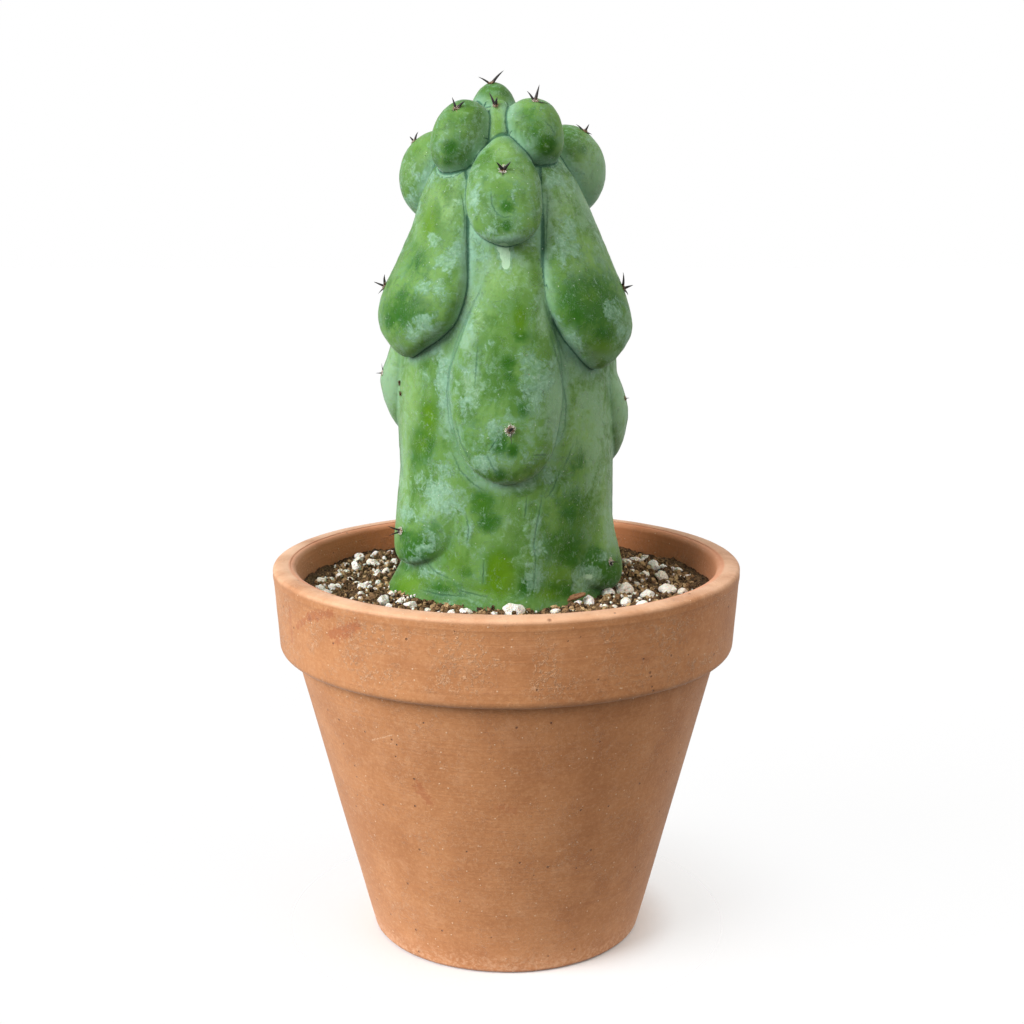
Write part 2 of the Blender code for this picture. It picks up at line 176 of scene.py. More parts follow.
class Nodes:
    """The shader nodes of a material or of the sky."""

    def __init__(self, tree):
        self.tree = tree

    def feed(self, socket, value):
        if isinstance(value, Value):
            self.tree.links.new(value.socket, socket)
        else:
            socket.default_value = value

    def node(self, kind, settings=None, inputs=None, output=0):
        made = self.tree.nodes.new("ShaderNode" + kind)
        for name, value in (settings or {}).items():
            setattr(made, name, value)
        for name, value in (inputs or {}).items():
            self.feed(made.inputs[name], value)
        return Value(self, made.outputs[output])


class Finish(Nodes):
    """A material, whose patterns are placed in millimetres from the object's origin."""

    def __init__(self, name, fixed):
        self.material = bpy.data.materials.new(name)
        self.material.use_nodes = True
        super().__init__(self.material.node_tree)
        self.shader = self.tree.nodes["Principled BSDF"]
        for socket, value in fixed.items():
            self.shader.inputs[socket].default_value = value
        self.place = self.vector("MULTIPLY", self.node("TexCoord", output="Object"), (1000, 1000, 1000))

    def attribute(self, name):
        return self.node("Attribute", {"attribute_name": name}, output="Fac")

    def vector(self, operation, first, second=(0, 0, 0), output=0):
        return self.node("VectorMath", {"operation": operation}, {0: first, 1: second}, output)

    def stretched(self, *sizes):
        return self.vector("MULTIPLY", self.place, sizes)

    def noise(self, scale, detail=3, roughness=0.5, distortion=0, at=None):
        sockets = {"Vector": at or self.place, "Scale": scale, "Detail": detail, "Roughness": roughness}
        return self.node("TexNoise", None, {**sockets, "Distortion": distortion})

    def cells(self, scale, output="Distance"):
        return self.node("TexVoronoi", None, {"Vector": self.place, "Scale": scale}, output)

    def rise(self, value, low, high):
        """0 where the value is low, 1 where it is high, smooth between."""
        sockets = {"Value": value, "From Min": low, "From Max": high}
        return self.node("MapRange", {"interpolation_type": "SMOOTHSTEP"}, sockets)

    def blend(self, first, second, share):
        first, second = (v if isinstance(v, Value) else (*v, 1) for v in (first, second))
        settings = {"data_type": "RGBA", "blend_type": "MIX", "clamp_factor": True}
        return self.node("Mix", settings, {0: share, 6: first, 7: second}, 2)

    def layered(self, colour, *layers):
        """A colour with others laid over it in turn, each given with its share."""
        for over, share in layers:
            colour = self.blend(colour, over, share)
        return colour

    def dots(self, scale, size, rarity):
        """Small round spots, one in some of the cells."""
        chosen = self.rise(self.node("SeparateColor", None, {0: self.cells(scale, "Color")}), rarity, rarity + 0.01)
        return self.rise(self.cells(scale), size, size * 0.5) * chosen

    def near(self, spot, reach):
        """1 at a spot given in millimetres, fading to 0 at its reach."""
        return self.rise(self.vector("DISTANCE", self.place, spot, "Value"), reach, 0)

    def along(self, start, end):
        """How far, in millimetres, the surface is from a straight line between two spots."""
        run = end - start
        off = self.vector("SUBTRACT", self.place, start)
        share = self.vector("DOT_PRODUCT", off, run, "Value")
        share = self.node("Math", {"operation": "MULTIPLY", "use_clamp": True}, {0: share, 1: 1 / run.length_squared})
        nearest = self.node("VectorMath", {"operation": "SCALE"}, {0: run, "Scale": share})
        return self.vector("DISTANCE", off, nearest, "Value")

    def relief(self, height, depth):
        """Small relief, its full depth in millimetres."""
        bump = self.node("Bump", None, {"Height": height, "Distance": depth * MM, "Strength": 1})
        self.feed(self.shader.inputs["Normal"], bump)

    def colour(self, value, roughness):
        self.feed(self.shader.inputs["Base Color"], value)
        self.feed(self.shader.inputs["Roughness"], roughness)


def finish_piece(piece, finish, replaces=""):
    """Gives a piece its material and its place on the frame, and hides the solid that it stands for, if any."""
    piece.data.materials.clear()
    piece.data.materials.append(finish.material)
    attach(piece, "root")
    if replaces:
        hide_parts(replaces)


# Old smears on the clay where the picture shows them: from and to, as columns and rows, half width in mm, strength.
SMEARS = (
    ((297, 626), (309, 618), 1.1, 0.5), ((309, 617), (330, 613), 1.7, 0.6), ((331, 634), (356, 626), 2, 0.65),
    ((334, 643), (347, 635), 1.1, 0.5), ((419, 787), (428, 801), 2.1, 0.5), ((290, 608), (292, 640), 1.2, 0.4),
    ((500, 807), (514, 812), 1.4, 0.3),
)
# Thin pale scratches: from and to.
SCRATCHES = (((440, 768), (518, 773)), ((478, 846), (560, 851)), ((430, 905), (520, 912)), ((372, 740), (392, 735)))
# Pits: column, row, reach in mm.
PITS = (
    (408, 884, 0.8), (355, 766, 0.6), (420, 850, 0.7), (392, 740, 0.6), (650, 673, 0.7), (651, 677, 0.6),
    (652, 687, 0.5), (653, 691, 0.6), (550, 620, 1), (467, 852, 0.5), (600, 742, 0.5), (520, 863, 0.5),
)
pot_surface = BVHTree.FromObject(pot, bpy.context.evaluated_depsgraph_get())


def on_pot(column, row):
    """The place on the pot, in millimetres, that a pixel of the picture shows."""
    return pot_surface.ray_cast(VIEW_FROM, sight_line(column, row))[0] / MM


clay = Finish("terracotta", {"Specular IOR Level": 0.35, "Sheen Weight": 0.16, "Sheen Roughness": 0.4})
turning = clay.noise(1, 2, at=clay.stretched(0.02, 0.02, 1.1))
grain = clay.noise(2.2, 3, 0.6)
rough = clay.noise(0.8, 5, 0.7)
mottle = clay.noise(0.055, 4, 0.55)
height = clay.node("SeparateXYZ", None, {0: clay.place}, "Z")
out = clay.vector("LENGTH", clay.stretched(1, 1, 0), output="Value")
on_collar = clay.rise(height, 97, 102) * clay.rise(height, 120, 117)
patchy = clay.rise(clay.noise(0.06, 4, 0.6, 0.3), 0.4, 0.58)
broken = clay.rise(clay.noise(0.7, 2), 0.44, 0.56)
worms = clay.rise(abs(clay.noise(0.75, 1, 0.5, 1.8) - 0.5), 0.07, 0.015) * broken * patchy
scuffs = clay.rise(clay.noise(0.5, 4, 0.7, at=clay.stretched(0.35, 0.35, 2.2)), 0.62, 0.72)
rubs = clay.rise(abs(clay.noise(0.3, 3, 0.5, 0.8) - 0.5), 0.007, 0.001) * clay.rise(clay.noise(0.09, 3), 0.52, 0.62)
specks = clay.dots(0.42, 0.13, 0.55)
pits = clay.dots(0.22, 0.10, 0.6)
for column, row, reach in PITS:
    pits = pits + clay.near(on_pot(column, row), reach)
marks = []
for start, end, half_width, strength in SMEARS:
    off = clay.along(on_pot(*start), on_pot(*end)) + (rough - 0.5) * 5 + (grain - 0.5) * 3
    marks.append(((0.37, 0.115, 0.042), clay.rise(off, half_width * 1.1, half_width * 0.4) * strength))
for start, end in SCRATCHES:
    off = clay.along(on_pot(*start), on_pot(*end)) + (grain - 0.5) * 1.2
    marks.append(((0.70, 0.45, 0.28), clay.rise(off, 0.3, 0.05) * 0.7))
body = clay.layered(
    (0.42, 0.174, 0.064),
    ((0.50, 0.219, 0.085), clay.rise(mottle, 0.3, 0.7)),
    ((0.58, 0.29, 0.14), clay.rise(clay.noise(0.13, 5, 0.65, 0.5), 0.48, 0.74) * 0.4),
    ((0.36, 0.135, 0.052), clay.rise(clay.noise(0.09, 3, 0.6, 0.4), 0.54, 0.75) * 0.3),
    ((0.62, 0.32, 0.15), clay.rise(rough, 0.52, 0.6) * 0.28),
    ((0.32, 0.12, 0.045), clay.rise(rough, 0.45, 0.37) * 0.25),
    ((0.76, 0.48, 0.29), worms * (on_collar * 0.4 + 0.15)),
    ((0.35, 0.13, 0.05), clay.rise(turning, 0.55, 0.8) * 0.25),
    ((0.66, 0.40, 0.24), scuffs * 0.4),
    ((0.72, 0.46, 0.29), rubs * 0.5),
    # Painted highlight: the top of the lip is painted paler in mottled patches, partly dust and partly the light that
    # the top catches.
    ((0.74, 0.46, 0.29), clay.rise(height, 120.8, 122.4) * clay.rise(mottle, 0.2, 0.75) * 0.8),
    # Painted light: the inside of the rim is painted redder and brighter, for the light bounced about inside the pot.
    ((0.62, 0.20, 0.07), clay.rise(out, 70.4, 69.6) * clay.rise(height, 97, 98) * 0.6),
    # Painted shade: a faint dark line at the small step below the lip.
    ((0.38, 0.15, 0.06), clay.rise(abs(height - 119.2), 0.35, 0) * 0.2),
    ((0.66, 0.42, 0.27), clay.rise(height, 9, 1) * clay.rise(rough, 0.45, 0.6) * 0.4),
    # Painted shade: a dark band along the bottom edge, where the pot meets the floor.
    ((0.20, 0.07, 0.028), clay.rise(height, 1.6, 0.2) * 0.7),
    *marks,
    ((0.16, 0.06, 0.025), pits * 0.75),
    ((0.82, 0.58, 0.38), specks * 0.7),
)
clay.colour(body, 0.62 + grain * 0.15)
raised = grain * 0.25 + rough * 0.5 + worms * (on_collar * 0.5 + 0.2) + turning * 0.6 + specks * 0.5 + rubs * 0.4
clay.relief(raised - pits * 1.5, 0.16)
finish_piece(pot, clay, "pot")

# The soil: moist peat mixed with perlite, filled in by hand to just under the lip and open round the stem.
# The bed is one body down to the pot's floor, and its top is loose and uneven.
SOIL_TOP = 114.6
SOIL_GAP = 0.3
BED_BOTTOM = FLOOR_THICKNESS + SOIL_GAP
HOLE_RADIUS, HOLE_BOTTOM = 33, 84
BED_STEPS = 400


def bed_radius(height):
    """Radius of the soil, just inside the wall, in millimetres."""
    return wall_radius(height) - WALL_THICKNESS - SOIL_GAP


bed_outline = [(r, BED_BOTTOM) for r in (0, 20, bed_radius(BED_BOTTOM) - 3.5)]
bed_outline += [(bed_radius(h), h) for h in (12.8, 30, 50, 70, 90, 105, 111)]
bed_outline += [(r, SOIL_TOP) for r in np.linspace(bed_radius(SOIL_TOP), HOLE_RADIUS, 44)]
bed_outline += [(HOLE_RADIUS - 0.2, 111), (HOLE_RADIUS - 0.4, 107), (14, HOLE_BOTTOM), (0, HOLE_BOTTOM)]
bed = add_turned("soil_bed", bed_outline, BED_STEPS)
top = bed.vertex_groups.new(name="top")
top.add([v.index for v in bed.data.vertices if v.co.z > (SOIL_TOP - 0.1) * MM], 1, "REPLACE")
add_unevenness(bed, 7, 3.2, vertex_group="top", direction="Z")
add_unevenness(bed, 1.6, 2.2, vertex_group="top", direction="Z")
bpy.ops.object.shade_smooth()
peat = Finish("moist_peat", {"Specular IOR Level": 0.2})
fibre = peat.noise(0.9, 5, 0.7, 0.6)
earth = peat.layered(
    (0.025, 0.014, 0.007),
    ((0.17, 0.10, 0.045), peat.rise(fibre, 0.38, 0.62)),
    ((0.36, 0.22, 0.10), peat.rise(peat.noise(1.6, 3, 0.6), 0.56, 0.66) * 0.8),
)
peat.colour(earth, 0.9)
peat.relief(fibre, 0.8)
finish_piece(bed, peat, "soil")


# Peat crumbs: small lumps of brown peat that lie loose all over the bed, some bleached or golden.
# One lump is modelled, and every copy is squeezed, turned and dented in its own way.
def add_lump(operator, **sizes):
    """A small ball to make copies of, as its points and faces."""
    made = add_primitive(operator, "lump", radius=1, **sizes)
    points = np.array([v.co for v in made.data.vertices])
    faces = [tuple(f.vertices) for f in made.data.polygons]
    bpy.data.objects.remove(made)
    return points, faces


def turned_any_way(draw, count):
    """That many random rotations."""
    return np.array([Quaternion(q).normalized().to_matrix() for q in draw.normal(size=(count, 4))])


def one_piece(name, shapes, faces, tones):
    """One mesh of many copies, given as the points of each, with a tone for each copy."""
    count, size = shapes.shape[:2]
    mesh = bpy.data.meshes.new(name)
    corners = [tuple(i + copy * size for i in face) for copy in range(count) for face in faces]
    mesh.from_pydata(shapes.reshape(-1, 3).tolist(), [], corners)
    tone = mesh.attributes.new("tone", "FLOAT", "POINT")
    tone.data.foreach_set("value", np.repeat(tones, size).astype(np.float32))
    made = bpy.data.objects.new(name, mesh)
    bpy.context.scene.collection.objects.link(made)
    return made


def ground(x, y):
    """Height of the bed straight under a place, in millimetres, or the soil's level where the bed is missed."""
    hit = bed_surface.ray_cast(Vector((x, y, SOIL_TOP + CLEAR_ABOVE)) * MM, Vector((0, 0, -1)))[0]
    return hit.z / MM if hit else SOIL_TOP


def scattered(draw, count, low, high):
    """Random places on a ring between two radii, in millimetres."""
    radius = np.sqrt(draw.uniform(low**2, high**2, count))
    angle = draw.uniform(0, 2 * math.pi, count)
    return radius * np.cos(angle), radius * np.sin(angle)


def dropped(copies, x, y, raised):
    """Copies of a lump moved to their places on the bed, each raised that far above it."""
    z = np.array([ground(a, b) for a, b in zip(x, y)])
    return (copies + np.stack((x, y, z + raised), axis=-1)[:, None, :]) * MM


CRUMBS = 5200
BED_EDGE = 61.8
CLEAR_ABOVE = 25
draw = np.random.default_rng(7)
bed_surface = BVHTree.FromObject(bed, bpy.context.evaluated_depsgraph_get())
lump, lump_faces = add_lump(bpy.ops.mesh.primitive_uv_sphere_add, segments=6, ring_count=4)
x, y = scattered(draw, CRUMBS, 33.5, BED_EDGE)
size = 0.38 + 0.72 * draw.random(CRUMBS) ** 2.4
squeeze = draw.uniform(0.55, 1.25, (CRUMBS, 1, 3))
dents = 1 + draw.normal(0, 0.24, (CRUMBS, len(lump), 1))
copies = lump * dents * squeeze * size[:, None, None]
copies = np.einsum("nij,nvj->nvi", turned_any_way(draw, CRUMBS), copies)
copies = dropped(copies, x, y, size * draw.uniform(-0.1, 0.7, CRUMBS))
crumbs = one_piece("peat_crumbs", copies, lump_faces, draw.random(CRUMBS))
crumb = Finish("peat_crumb", {"Specular IOR Level": 0.25})
tone = crumb.attribute("tone")
grit = crumb.noise(2.4, 3, 0.7)
brown = crumb.layered(
    (0.04, 0.021, 0.010),
    ((0.25, 0.145, 0.066), crumb.rise(tone, 0.05, 0.6)),
    ((0.52, 0.35, 0.175), crumb.rise(tone, 0.6, 0.85)),
    ((0.40, 0.26, 0.12), crumb.rise(grit, 0.54, 0.66) * 0.7),
    ((0.012, 0.007, 0.004), crumb.rise(grit, 0.48, 0.36) * 0.7),
)
crumb.colour(brown, 0.85)
crumb.relief(grit, 0.35)
finish_piece(crumbs, crumb)

# Perlite: puffed volcanic glass, white, light and rough, mixed through the peat for drainage.
# The big granules lie where the photograph has them, and more are scattered all round.
GRANULES_SEEN = (
    # column, row, width in pixels of the picture
    (466, 608, 14), (514, 609, 22), (555, 608, 10), (588, 598, 15), (577, 601, 8), (608, 591, 14), (625, 586, 25),
    (635, 592, 8), (647, 591, 15), (668, 587, 20), (682, 590, 12), (661, 572, 14), (644, 572, 10), (655, 562, 14),
    (643, 557, 8), (634, 558, 11), (627, 560, 11), (655, 552, 8), (691, 566, 9), (673, 567, 7), (664, 564, 9),
    (642, 602, 16), (614, 606, 8), (604, 605, 9), (635, 580, 5), (353, 555, 11), (363, 553, 6), (371, 551, 9),
    (388, 548, 8), (358, 559, 10), (336, 560, 10), (374, 561, 15), (356, 565, 13), (394, 558, 8), (386, 562, 8),
    (346, 569, 9), (339, 573, 8), (329, 575, 13), (318, 580, 12), (335, 585, 12), (327, 590, 11), (350, 577, 8),
    (357, 580, 8), (366, 581, 9), (378, 569, 9), (385, 568, 7), (378, 579, 7), (383, 597, 15), (392, 593, 7),
    (401, 599, 12), (410, 604, 14), (390, 603, 10), (416, 600, 7), (424, 606, 6), (439, 609, 5), (687, 575, 6),
)
GRANULES = 75
GRAINS = 300
CUT_SIDES, DENTS = 11, 40
draw = np.random.default_rng(12)
rock, rock_faces = add_lump(bpy.ops.mesh.primitive_ico_sphere_add, subdivisions=4)
plain, plain_faces = add_lump(bpy.ops.mesh.primitive_ico_sphere_add, subdivisions=3)


def unit(vectors):
    """The same directions, each one long."""
    return vectors / np.linalg.norm(vectors, axis=-1, keepdims=True)


def granule(points, draw):
    """A rough stone: a ball cut flat on many sides, with a dent here and there."""
    sides = unit(draw.normal(size=(CUT_SIDES, 3)))
    cuts = draw.uniform(0.72, 1, CUT_SIDES) / np.clip(points @ sides.T, 0.2, None)
    reach = np.minimum(cuts.min(axis=1), 1.1)
    for _ in range(DENTS):
        way = unit(draw.normal(size=3))
        reach = reach + draw.uniform(-0.22, 0.12) * np.exp((points @ way - 1) * draw.uniform(10, 60))
    return points * reach[:, None] * draw.uniform(0.72, 1.15, 3)


def on_bed(column, row, above):
    """The place, in millimetres, that a pixel of the picture shows on a level that far above the soil."""
    line = sight_line(column, row)
    return (VIEW_FROM + line * ((VIEW_FROM.z - (SOIL_TOP + above) * MM) / -line.z)) / MM


places = []
for column, row, width in GRANULES_SEEN:
    seat = on_bed(column, row + width * 0.2, 0.8)
    radius = width * 0.5 * (seat - VIEW_FROM / MM).length / FOCAL_PIXELS
    kept_in = min(1, (BED_EDGE - 0.2 - radius * 0.8) / math.hypot(seat.x, seat.y))
    places.append((seat.x * kept_in, seat.y * kept_in, radius))
big = []
for a, b, radius in places:
    turn = turned_any_way(draw, 1)[0]
    big.append(granule(rock, draw) @ turn.T * radius * (1, 1, 0.82) + (a, b, ground(a, b) + radius * 0.22))
small = []
x, y = scattered(draw, GRANULES, 36, 60.6)
for a, b in zip(x, y):
    crowded = any(math.hypot(a - c, b - d) < radius + 1.2 for c, d, radius in places)
    radius = 0.8 + 1.3 * draw.random() ** 1.8
    turn = turned_any_way(draw, 1)[0]
    stone = granule(plain, draw) @ turn.T * radius + (a, b, ground(a, b) + radius * 0.3)
    if not crowded:
        small.append(stone)
        places.append((a, b, radius))
perlite_big = one_piece("perlite_large", np.array(big) * MM, rock_faces, draw.random(len(big)))
perlite_small = one_piece("perlite_small", np.array(small) * MM, plain_faces, draw.random(len(small)))
x, y = scattered(draw, GRAINS, 34.5, BED_EDGE)
size = draw.uniform(0.22, 0.55, GRAINS)
copies = lump * (1 + draw.normal(0, 0.15, (GRAINS, len(lump), 1))) * size[:, None, None]
copies = dropped(copies, x, y, draw.uniform(0.4, 1.3, GRAINS))
perlite_grains = one_piece("perlite_grains", copies, lump_faces, draw.random(GRAINS))
glass = Finish("perlite", {"Specular IOR Level": 0.3, "Subsurface Weight": 0.15, "Subsurface Scale": 0.001})
white = glass.layered(
    (0.96, 0.93, 0.85),
    ((0.86, 0.79, 0.66), glass.rise(glass.attribute("tone"), 0.4, 1) * 0.9),
    ((0.50, 0.38, 0.24), glass.rise(glass.noise(0.5, 5, 0.75), 0.54, 0.7) * 0.5),
    ((0.30, 0.20, 0.11), glass.rise(glass.noise(1.6, 3, 0.7), 0.6, 0.7) * 0.6),
)
glass.colour(white, 0.85)
glass.relief(glass.noise(2.2, 4, 0.65) + glass.cells(1.6) * 0.6, 0.6)
for piece in (perlite_big, perlite_small, perlite_grains):
    finish_piece(piece, glass)
bpy.ops.object.select_all(action="DESELECT")
for piece in (perlite_big, perlite_small):
    bpy.context.view_layer.objects.active = piece
    piece.select_set(True)
bpy.ops.object.shade_smooth_by_angle(angle=math.radians(38))

# Bark: a few chips of dry pine bark in the mix, one of them large, by the stem at the front.
# They are brown, split along the grain and frayed, and lie flat on the peat.
CHIPS = 40
BIG_LENGTH, BIG_LIFT, LIFT = 3, 2.4, 0.9
chips = []
seat = on_bed(575, 602, 1)
x, y = scattered(draw, CHIPS, 36, 60)
for number, (a, b) in enumerate([(seat.x, seat.y), *zip(x, y)]):
    length = BIG_LENGTH if number == 0 else draw.uniform(0.5, 1.5)
    spin = draw.uniform(-0.5, 0.5) if number == 0 else draw.uniform(0, math.pi)
    lying = np.array(Matrix.Rotation(spin, 3, "Z") @ Matrix.Rotation(draw.normal(0, 0.25), 3, "Y"))
    base = ground(a, b) + (BIG_LIFT if number == 0 else LIFT)
    chips.append(granule(plain, draw) * (1, 0.42, 0.3) * length @ lying.T + (a, b, base))
bark_chips = one_piece("bark_chips", np.array(chips) * MM, plain_faces, draw.random(len(chips)))
bark = Finish("bark", {"Specular IOR Level": 0.3})
grain = bark.noise(1.6, 4, 0.7, 0.5)
brown = bark.layered(
    (0.05, 0.022, 0.012),
    ((0.26, 0.13, 0.06), bark.rise(grain + bark.attribute("tone") * 0.3, 0.4, 0.8)),
    ((0.42, 0.29, 0.17), bark.rise(grain, 0.6, 0.7) * 0.6),
)
bark.colour(brown, 0.8)
bark.relief(grain, 0.5)
finish_piece(bark_chips, bark)

# The cactus: one living stem, a round column whose drooping tubercles stand in alternating whorls of three.
# Its skin is green and waxy under a pale bluish bloom that is rubbed off where the plant was touched.
STEM_RADIUS, SHOULDER, DOME = 34, 172, 93
FOOT, BURIED = 107, 84
TOP_LEAN, LEAN_LOW, LEAN_HIGH = 3, 226, 262


def faded(height, low, high):
    """0 below the lower height, 1 above the upper one, smooth between."""
    share = np.clip((height - low) / (high - low), 0, 1)
    return share * share * (3 - 2 * share)


def stem_radius_at(height):
    return STEM_RADIUS * np.sqrt(1 - np.clip((height - SHOULDER) / DOME, 0, 0.99999) ** 2)


def settled(azimuth, height, lift):
    """Points raised from the plain stem, hanging under their own weight, the top leaning a little."""
    raised = np.clip((height - SHOULDER) / DOME, 0, 0.9999)
    level, up = np.sqrt(1 - raised**2) / STEM_RADIUS, raised / DOME
    size = np.hypot(level, up)
    radius = stem_radius_at(height) + lift * level / size
    droop = (0.44 - 0.34 * faded(height, 236, 256)) * np.clip(lift, 0, None)
    lean = TOP_LEAN * faded(height, LEAN_LOW, LEAN_HIGH)
    up = height + lift * up / size - droop
    return np.stack((radius * np.sin(azimuth) - lean, -radius * np.cos(azimuth), up), axis=-1)


def add_ball(name, segments, rings):
    """A ball of radius 1 to be shaped, and its points."""
    ball = add_primitive(bpy.ops.mesh.primitive_uv_sphere_add, name, segments=segments, ring_count=rings, radius=1)
    return ball, np.array([v.co for v in ball.data.vertices], float)


def shape(piece, points):
    piece.data.vertices.foreach_set("co", (points * MM).astype(np.float32).ravel())
    piece.data.update()


# How deep the fold round it is, how soft its sides are, how square the left and the right half, how much lower the
# left and the right side; then, from the bottom up, each row's height, the azimuths of its edges, and its relief.
TUBERCLES = {
    "front_drop": (1, 0.5, 2.3, 2.3, 0, 0, (
        (224.4, -7, 6, 6.8), (226, -13, 12, 8), (229.5, -20, 19, 9.3), (234, -24.5, 24, 9.8), (239, -26.3, 27, 9.3),
        (243.5, -26, 29, 8.1), (247.5, -22, 27.5, 6.6), (251.3, -15, 22.5, 5), (254.4, -6, 16, 3.8),
        (256.2, 1, 11, 3))),
    "left_lobe": (1, 0.5, 2, 5, 0, 0.42, (
        (190.4, -66, -52, 6), (193, -70, -46, 7.4), (196.5, -76, -37, 9.2), (200.5, -84, -29.5, 11.2),
        (206, -89, -24.5, 12.4), (212, -90, -22, 11.6), (220, -90, -22.5, 7.9), (229, -90, -24.5, 4.4),
        (238, -88, -26, 3.4), (244, -84, -27, 2.6), (250, -76, -30, 1))),
    "right_lobe": (1, 0.5, 5, 2, 0.42, 0, (
        (187.2, 44, 57, 6), (190, 40, 62, 7.6), (193, 36.5, 67, 9), (196.5, 31.5, 74, 10.6), (202, 26, 81, 12.2),
        (207, 22, 83, 11.8), (212, 21, 84, 10), (220, 21, 84, 6.6), (229, 23, 84, 3.6), (238, 27.5, 82, 2.6),
        (246, 33, 78, 2), (251, 38, 72, 0.9))),
    "rear_lobe": (1, 0.5, 2.6, 2.6, 0, 0, (
        (189, 171, 189, 6), (192, 162, 199, 8), (196, 152, 208, 10), (200, 146, 214, 11.7), (206, 143, 217, 12.5),
        (212, 142, 218, 10.6), (220, 143, 217, 7), (229, 145, 215, 4.3), (238, 149, 211, 3), (246, 154, 206, 2.2),
        (252, 160, 200, 1.2))),
    "shield": (0.55, 0.6, 2.6, 2.4, 0, 0, (
        (153.8, -10, 11, 3.8), (156, -16, 17, 4.8), (160.5, -22, 22, 5.8), (166.5, -25.5, 25.5, 6.3),
        (174, -28.5, 28, 6.2), (181, -30, 29.5, 5.6), (188, -29.5, 29, 5.1), (194.5, -27, 27.5, 4.6),
        (201, -22.5, 25, 4), (207, -17.5, 23, 3.1), (214, -12, 21, 2), (221, -9, 19.5, 0.9), (228, -8, 18, 0.1))),
    "left_side": (0.45, 0.6, 2, 2, 0, 0, (
        (162, -116, -106, 1.6), (165, -126, -98, 2.9), (170, -135, -89, 4.5), (178, -141, -82, 6.9),
        (184, -142, -80.5, 7.9), (190, -140, -80.5, 5.6), (197, -136, -82, 3), (205, -131, -85, 1.4),
        (214, -126, -92, 0.3))),
    "right_side": (0.45, 0.6, 2, 2, 0, 0, (
        (151.5, 106, 120, 1.6), (155, 96, 132, 2.6), (160, 86, 140, 3.9), (166, 78, 145, 5.1), (173, 73.5, 148, 5.8),
        (179, 71.5, 147, 4.1), (185, 72, 144, 1.2), (192, 74, 140, 0.4), (201, 80, 132, 0.1))),
    "low_left": (0.25, 1.2, 2, 2, 0.15, 0, (
        (125.6, -74, -48, 3), (128, -82, -40, 4.2), (132, -88, -33, 4.5), (137, -92, -29, 3.8), (144, -92, -28, 2.4),
        (151, -88, -32, 1.1), (159, -78, -40, 0.2))),
    "low_right": (0.25, 1, 2, 2, 0, 0, (
        (116, 60, 84, 1.6), (118.5, 50, 94, 3), (122, 44, 99, 4), (127, 44, 97, 3.5), (133, 50, 90, 1.8),
        (142, 60, 80, 0.2))),
    "low_rear": (0.25, 1, 2, 2, 0, 0, (
        (119, 168, 192, 2.4), (123, 160, 200, 3.8), (130, 155, 205, 4.6), (138, 156, 204, 3.8), (146, 162, 198, 2),
        (157, 171, 189, 0.3))),
}
# azimuth, distance out, sideways, height, half width, half length, half depth, tilt, how square
ROUND_TUBERCLES = (
    (-50, 15.4, 2.3, 255.8, 8.5, 11.8, 9.6, 24, 2.2),
    (50, 15.2, -1.8, 257.1, 8.6, 10.8, 9.6, 20, 2.25),
    (180, 11, 0.9, 261.8, 7.8, 12, 9, 18, 2),
    (0, 11.6, 0.8, 259.3, 3, 8.4, 4.2, 30, 3.4),
    (120, 11.5, 0, 259.5, 2.7, 9, 4, 32, 2.6),
    (-120, 11.5, 0, 259.5, 2.7, 9, 4, 32, 2.6),
    (117, 23.2, 0, 246.6, 12.3, 14.2, 12.5, 8, 2),
    (-117, 22, 0, 244.8, 12.3, 14.2, 12.5, 8, 2),
)
# azimuth, height, half width in degrees, half height, relief
SWELLINGS = (
    (0, 216, 34, 46, 1.2), (120, 195, 47, 56, 2.8), (-120, 195, 47, 56, 2.8), (-78, 111, 38, 12.5, 6.6),
    (0, 112, 50, 8, 1.6),
)


def curve_through(stops, values, wanted):
    """A smooth curve through the values at the stops, read at the wanted places."""
    slopes = np.gradient(values, stops)
    left = np.clip(np.searchsorted(stops, wanted) - 1, 0, len(stops) - 2)
    step = stops[left + 1] - stops[left]
    t = np.clip((wanted - stops[left]) / step, 0, 1)
    bend = (1 - t) ** 2 * t * step * slopes[left] - t * t * (1 - t) * step * slopes[left + 1]
    return values[left] + (values[left + 1] - values[left]) * t * t * (3 - 2 * t) + bend


def make_column():
    """The stem itself with its soft swellings, from the buried foot to the tip."""
    column, ball = add_ball("column", 240, 240)
    azimuth = np.arctan2(ball[:, 0], -ball[:, 1])
    share = 1 - np.arccos(np.clip(ball[:, 2], -1, 1)) / math.pi
    dome = np.linspace(0, math.pi / 2, 400)
    radius = np.concatenate(([0, 13, STEM_RADIUS], STEM_RADIUS * np.cos(dome)))
    height = np.concatenate(([BURIED, BURIED, FOOT], SHOULDER + DOME * np.sin(dome)))
    along = np.concatenate(([0], np.cumsum(np.hypot(np.diff(radius), np.diff(height)))))
    radius = np.interp(share * along[-1], along, radius)
    height = np.interp(share * along[-1], along, height)
    lift = np.zeros(len(ball))
    for middle, level, half_turn, half_height, relief in SWELLINGS:
        turn = (np.degrees(azimuth) - middle + 180) % 360 - 180
        off = (turn / half_turn) ** 2 + ((height - level) / half_height) ** 2
        lift = np.maximum(lift, relief * np.clip(1 - off, 0, 1) ** 1.5)
    points = settled(azimuth, height, lift)
    inward = (radius + 1e-6) / (stem_radius_at(height) + 1e-6)
    points[:, :2] *= np.where(height < FOOT, inward, 1)[:, None]
    shape(column, points)
    return column


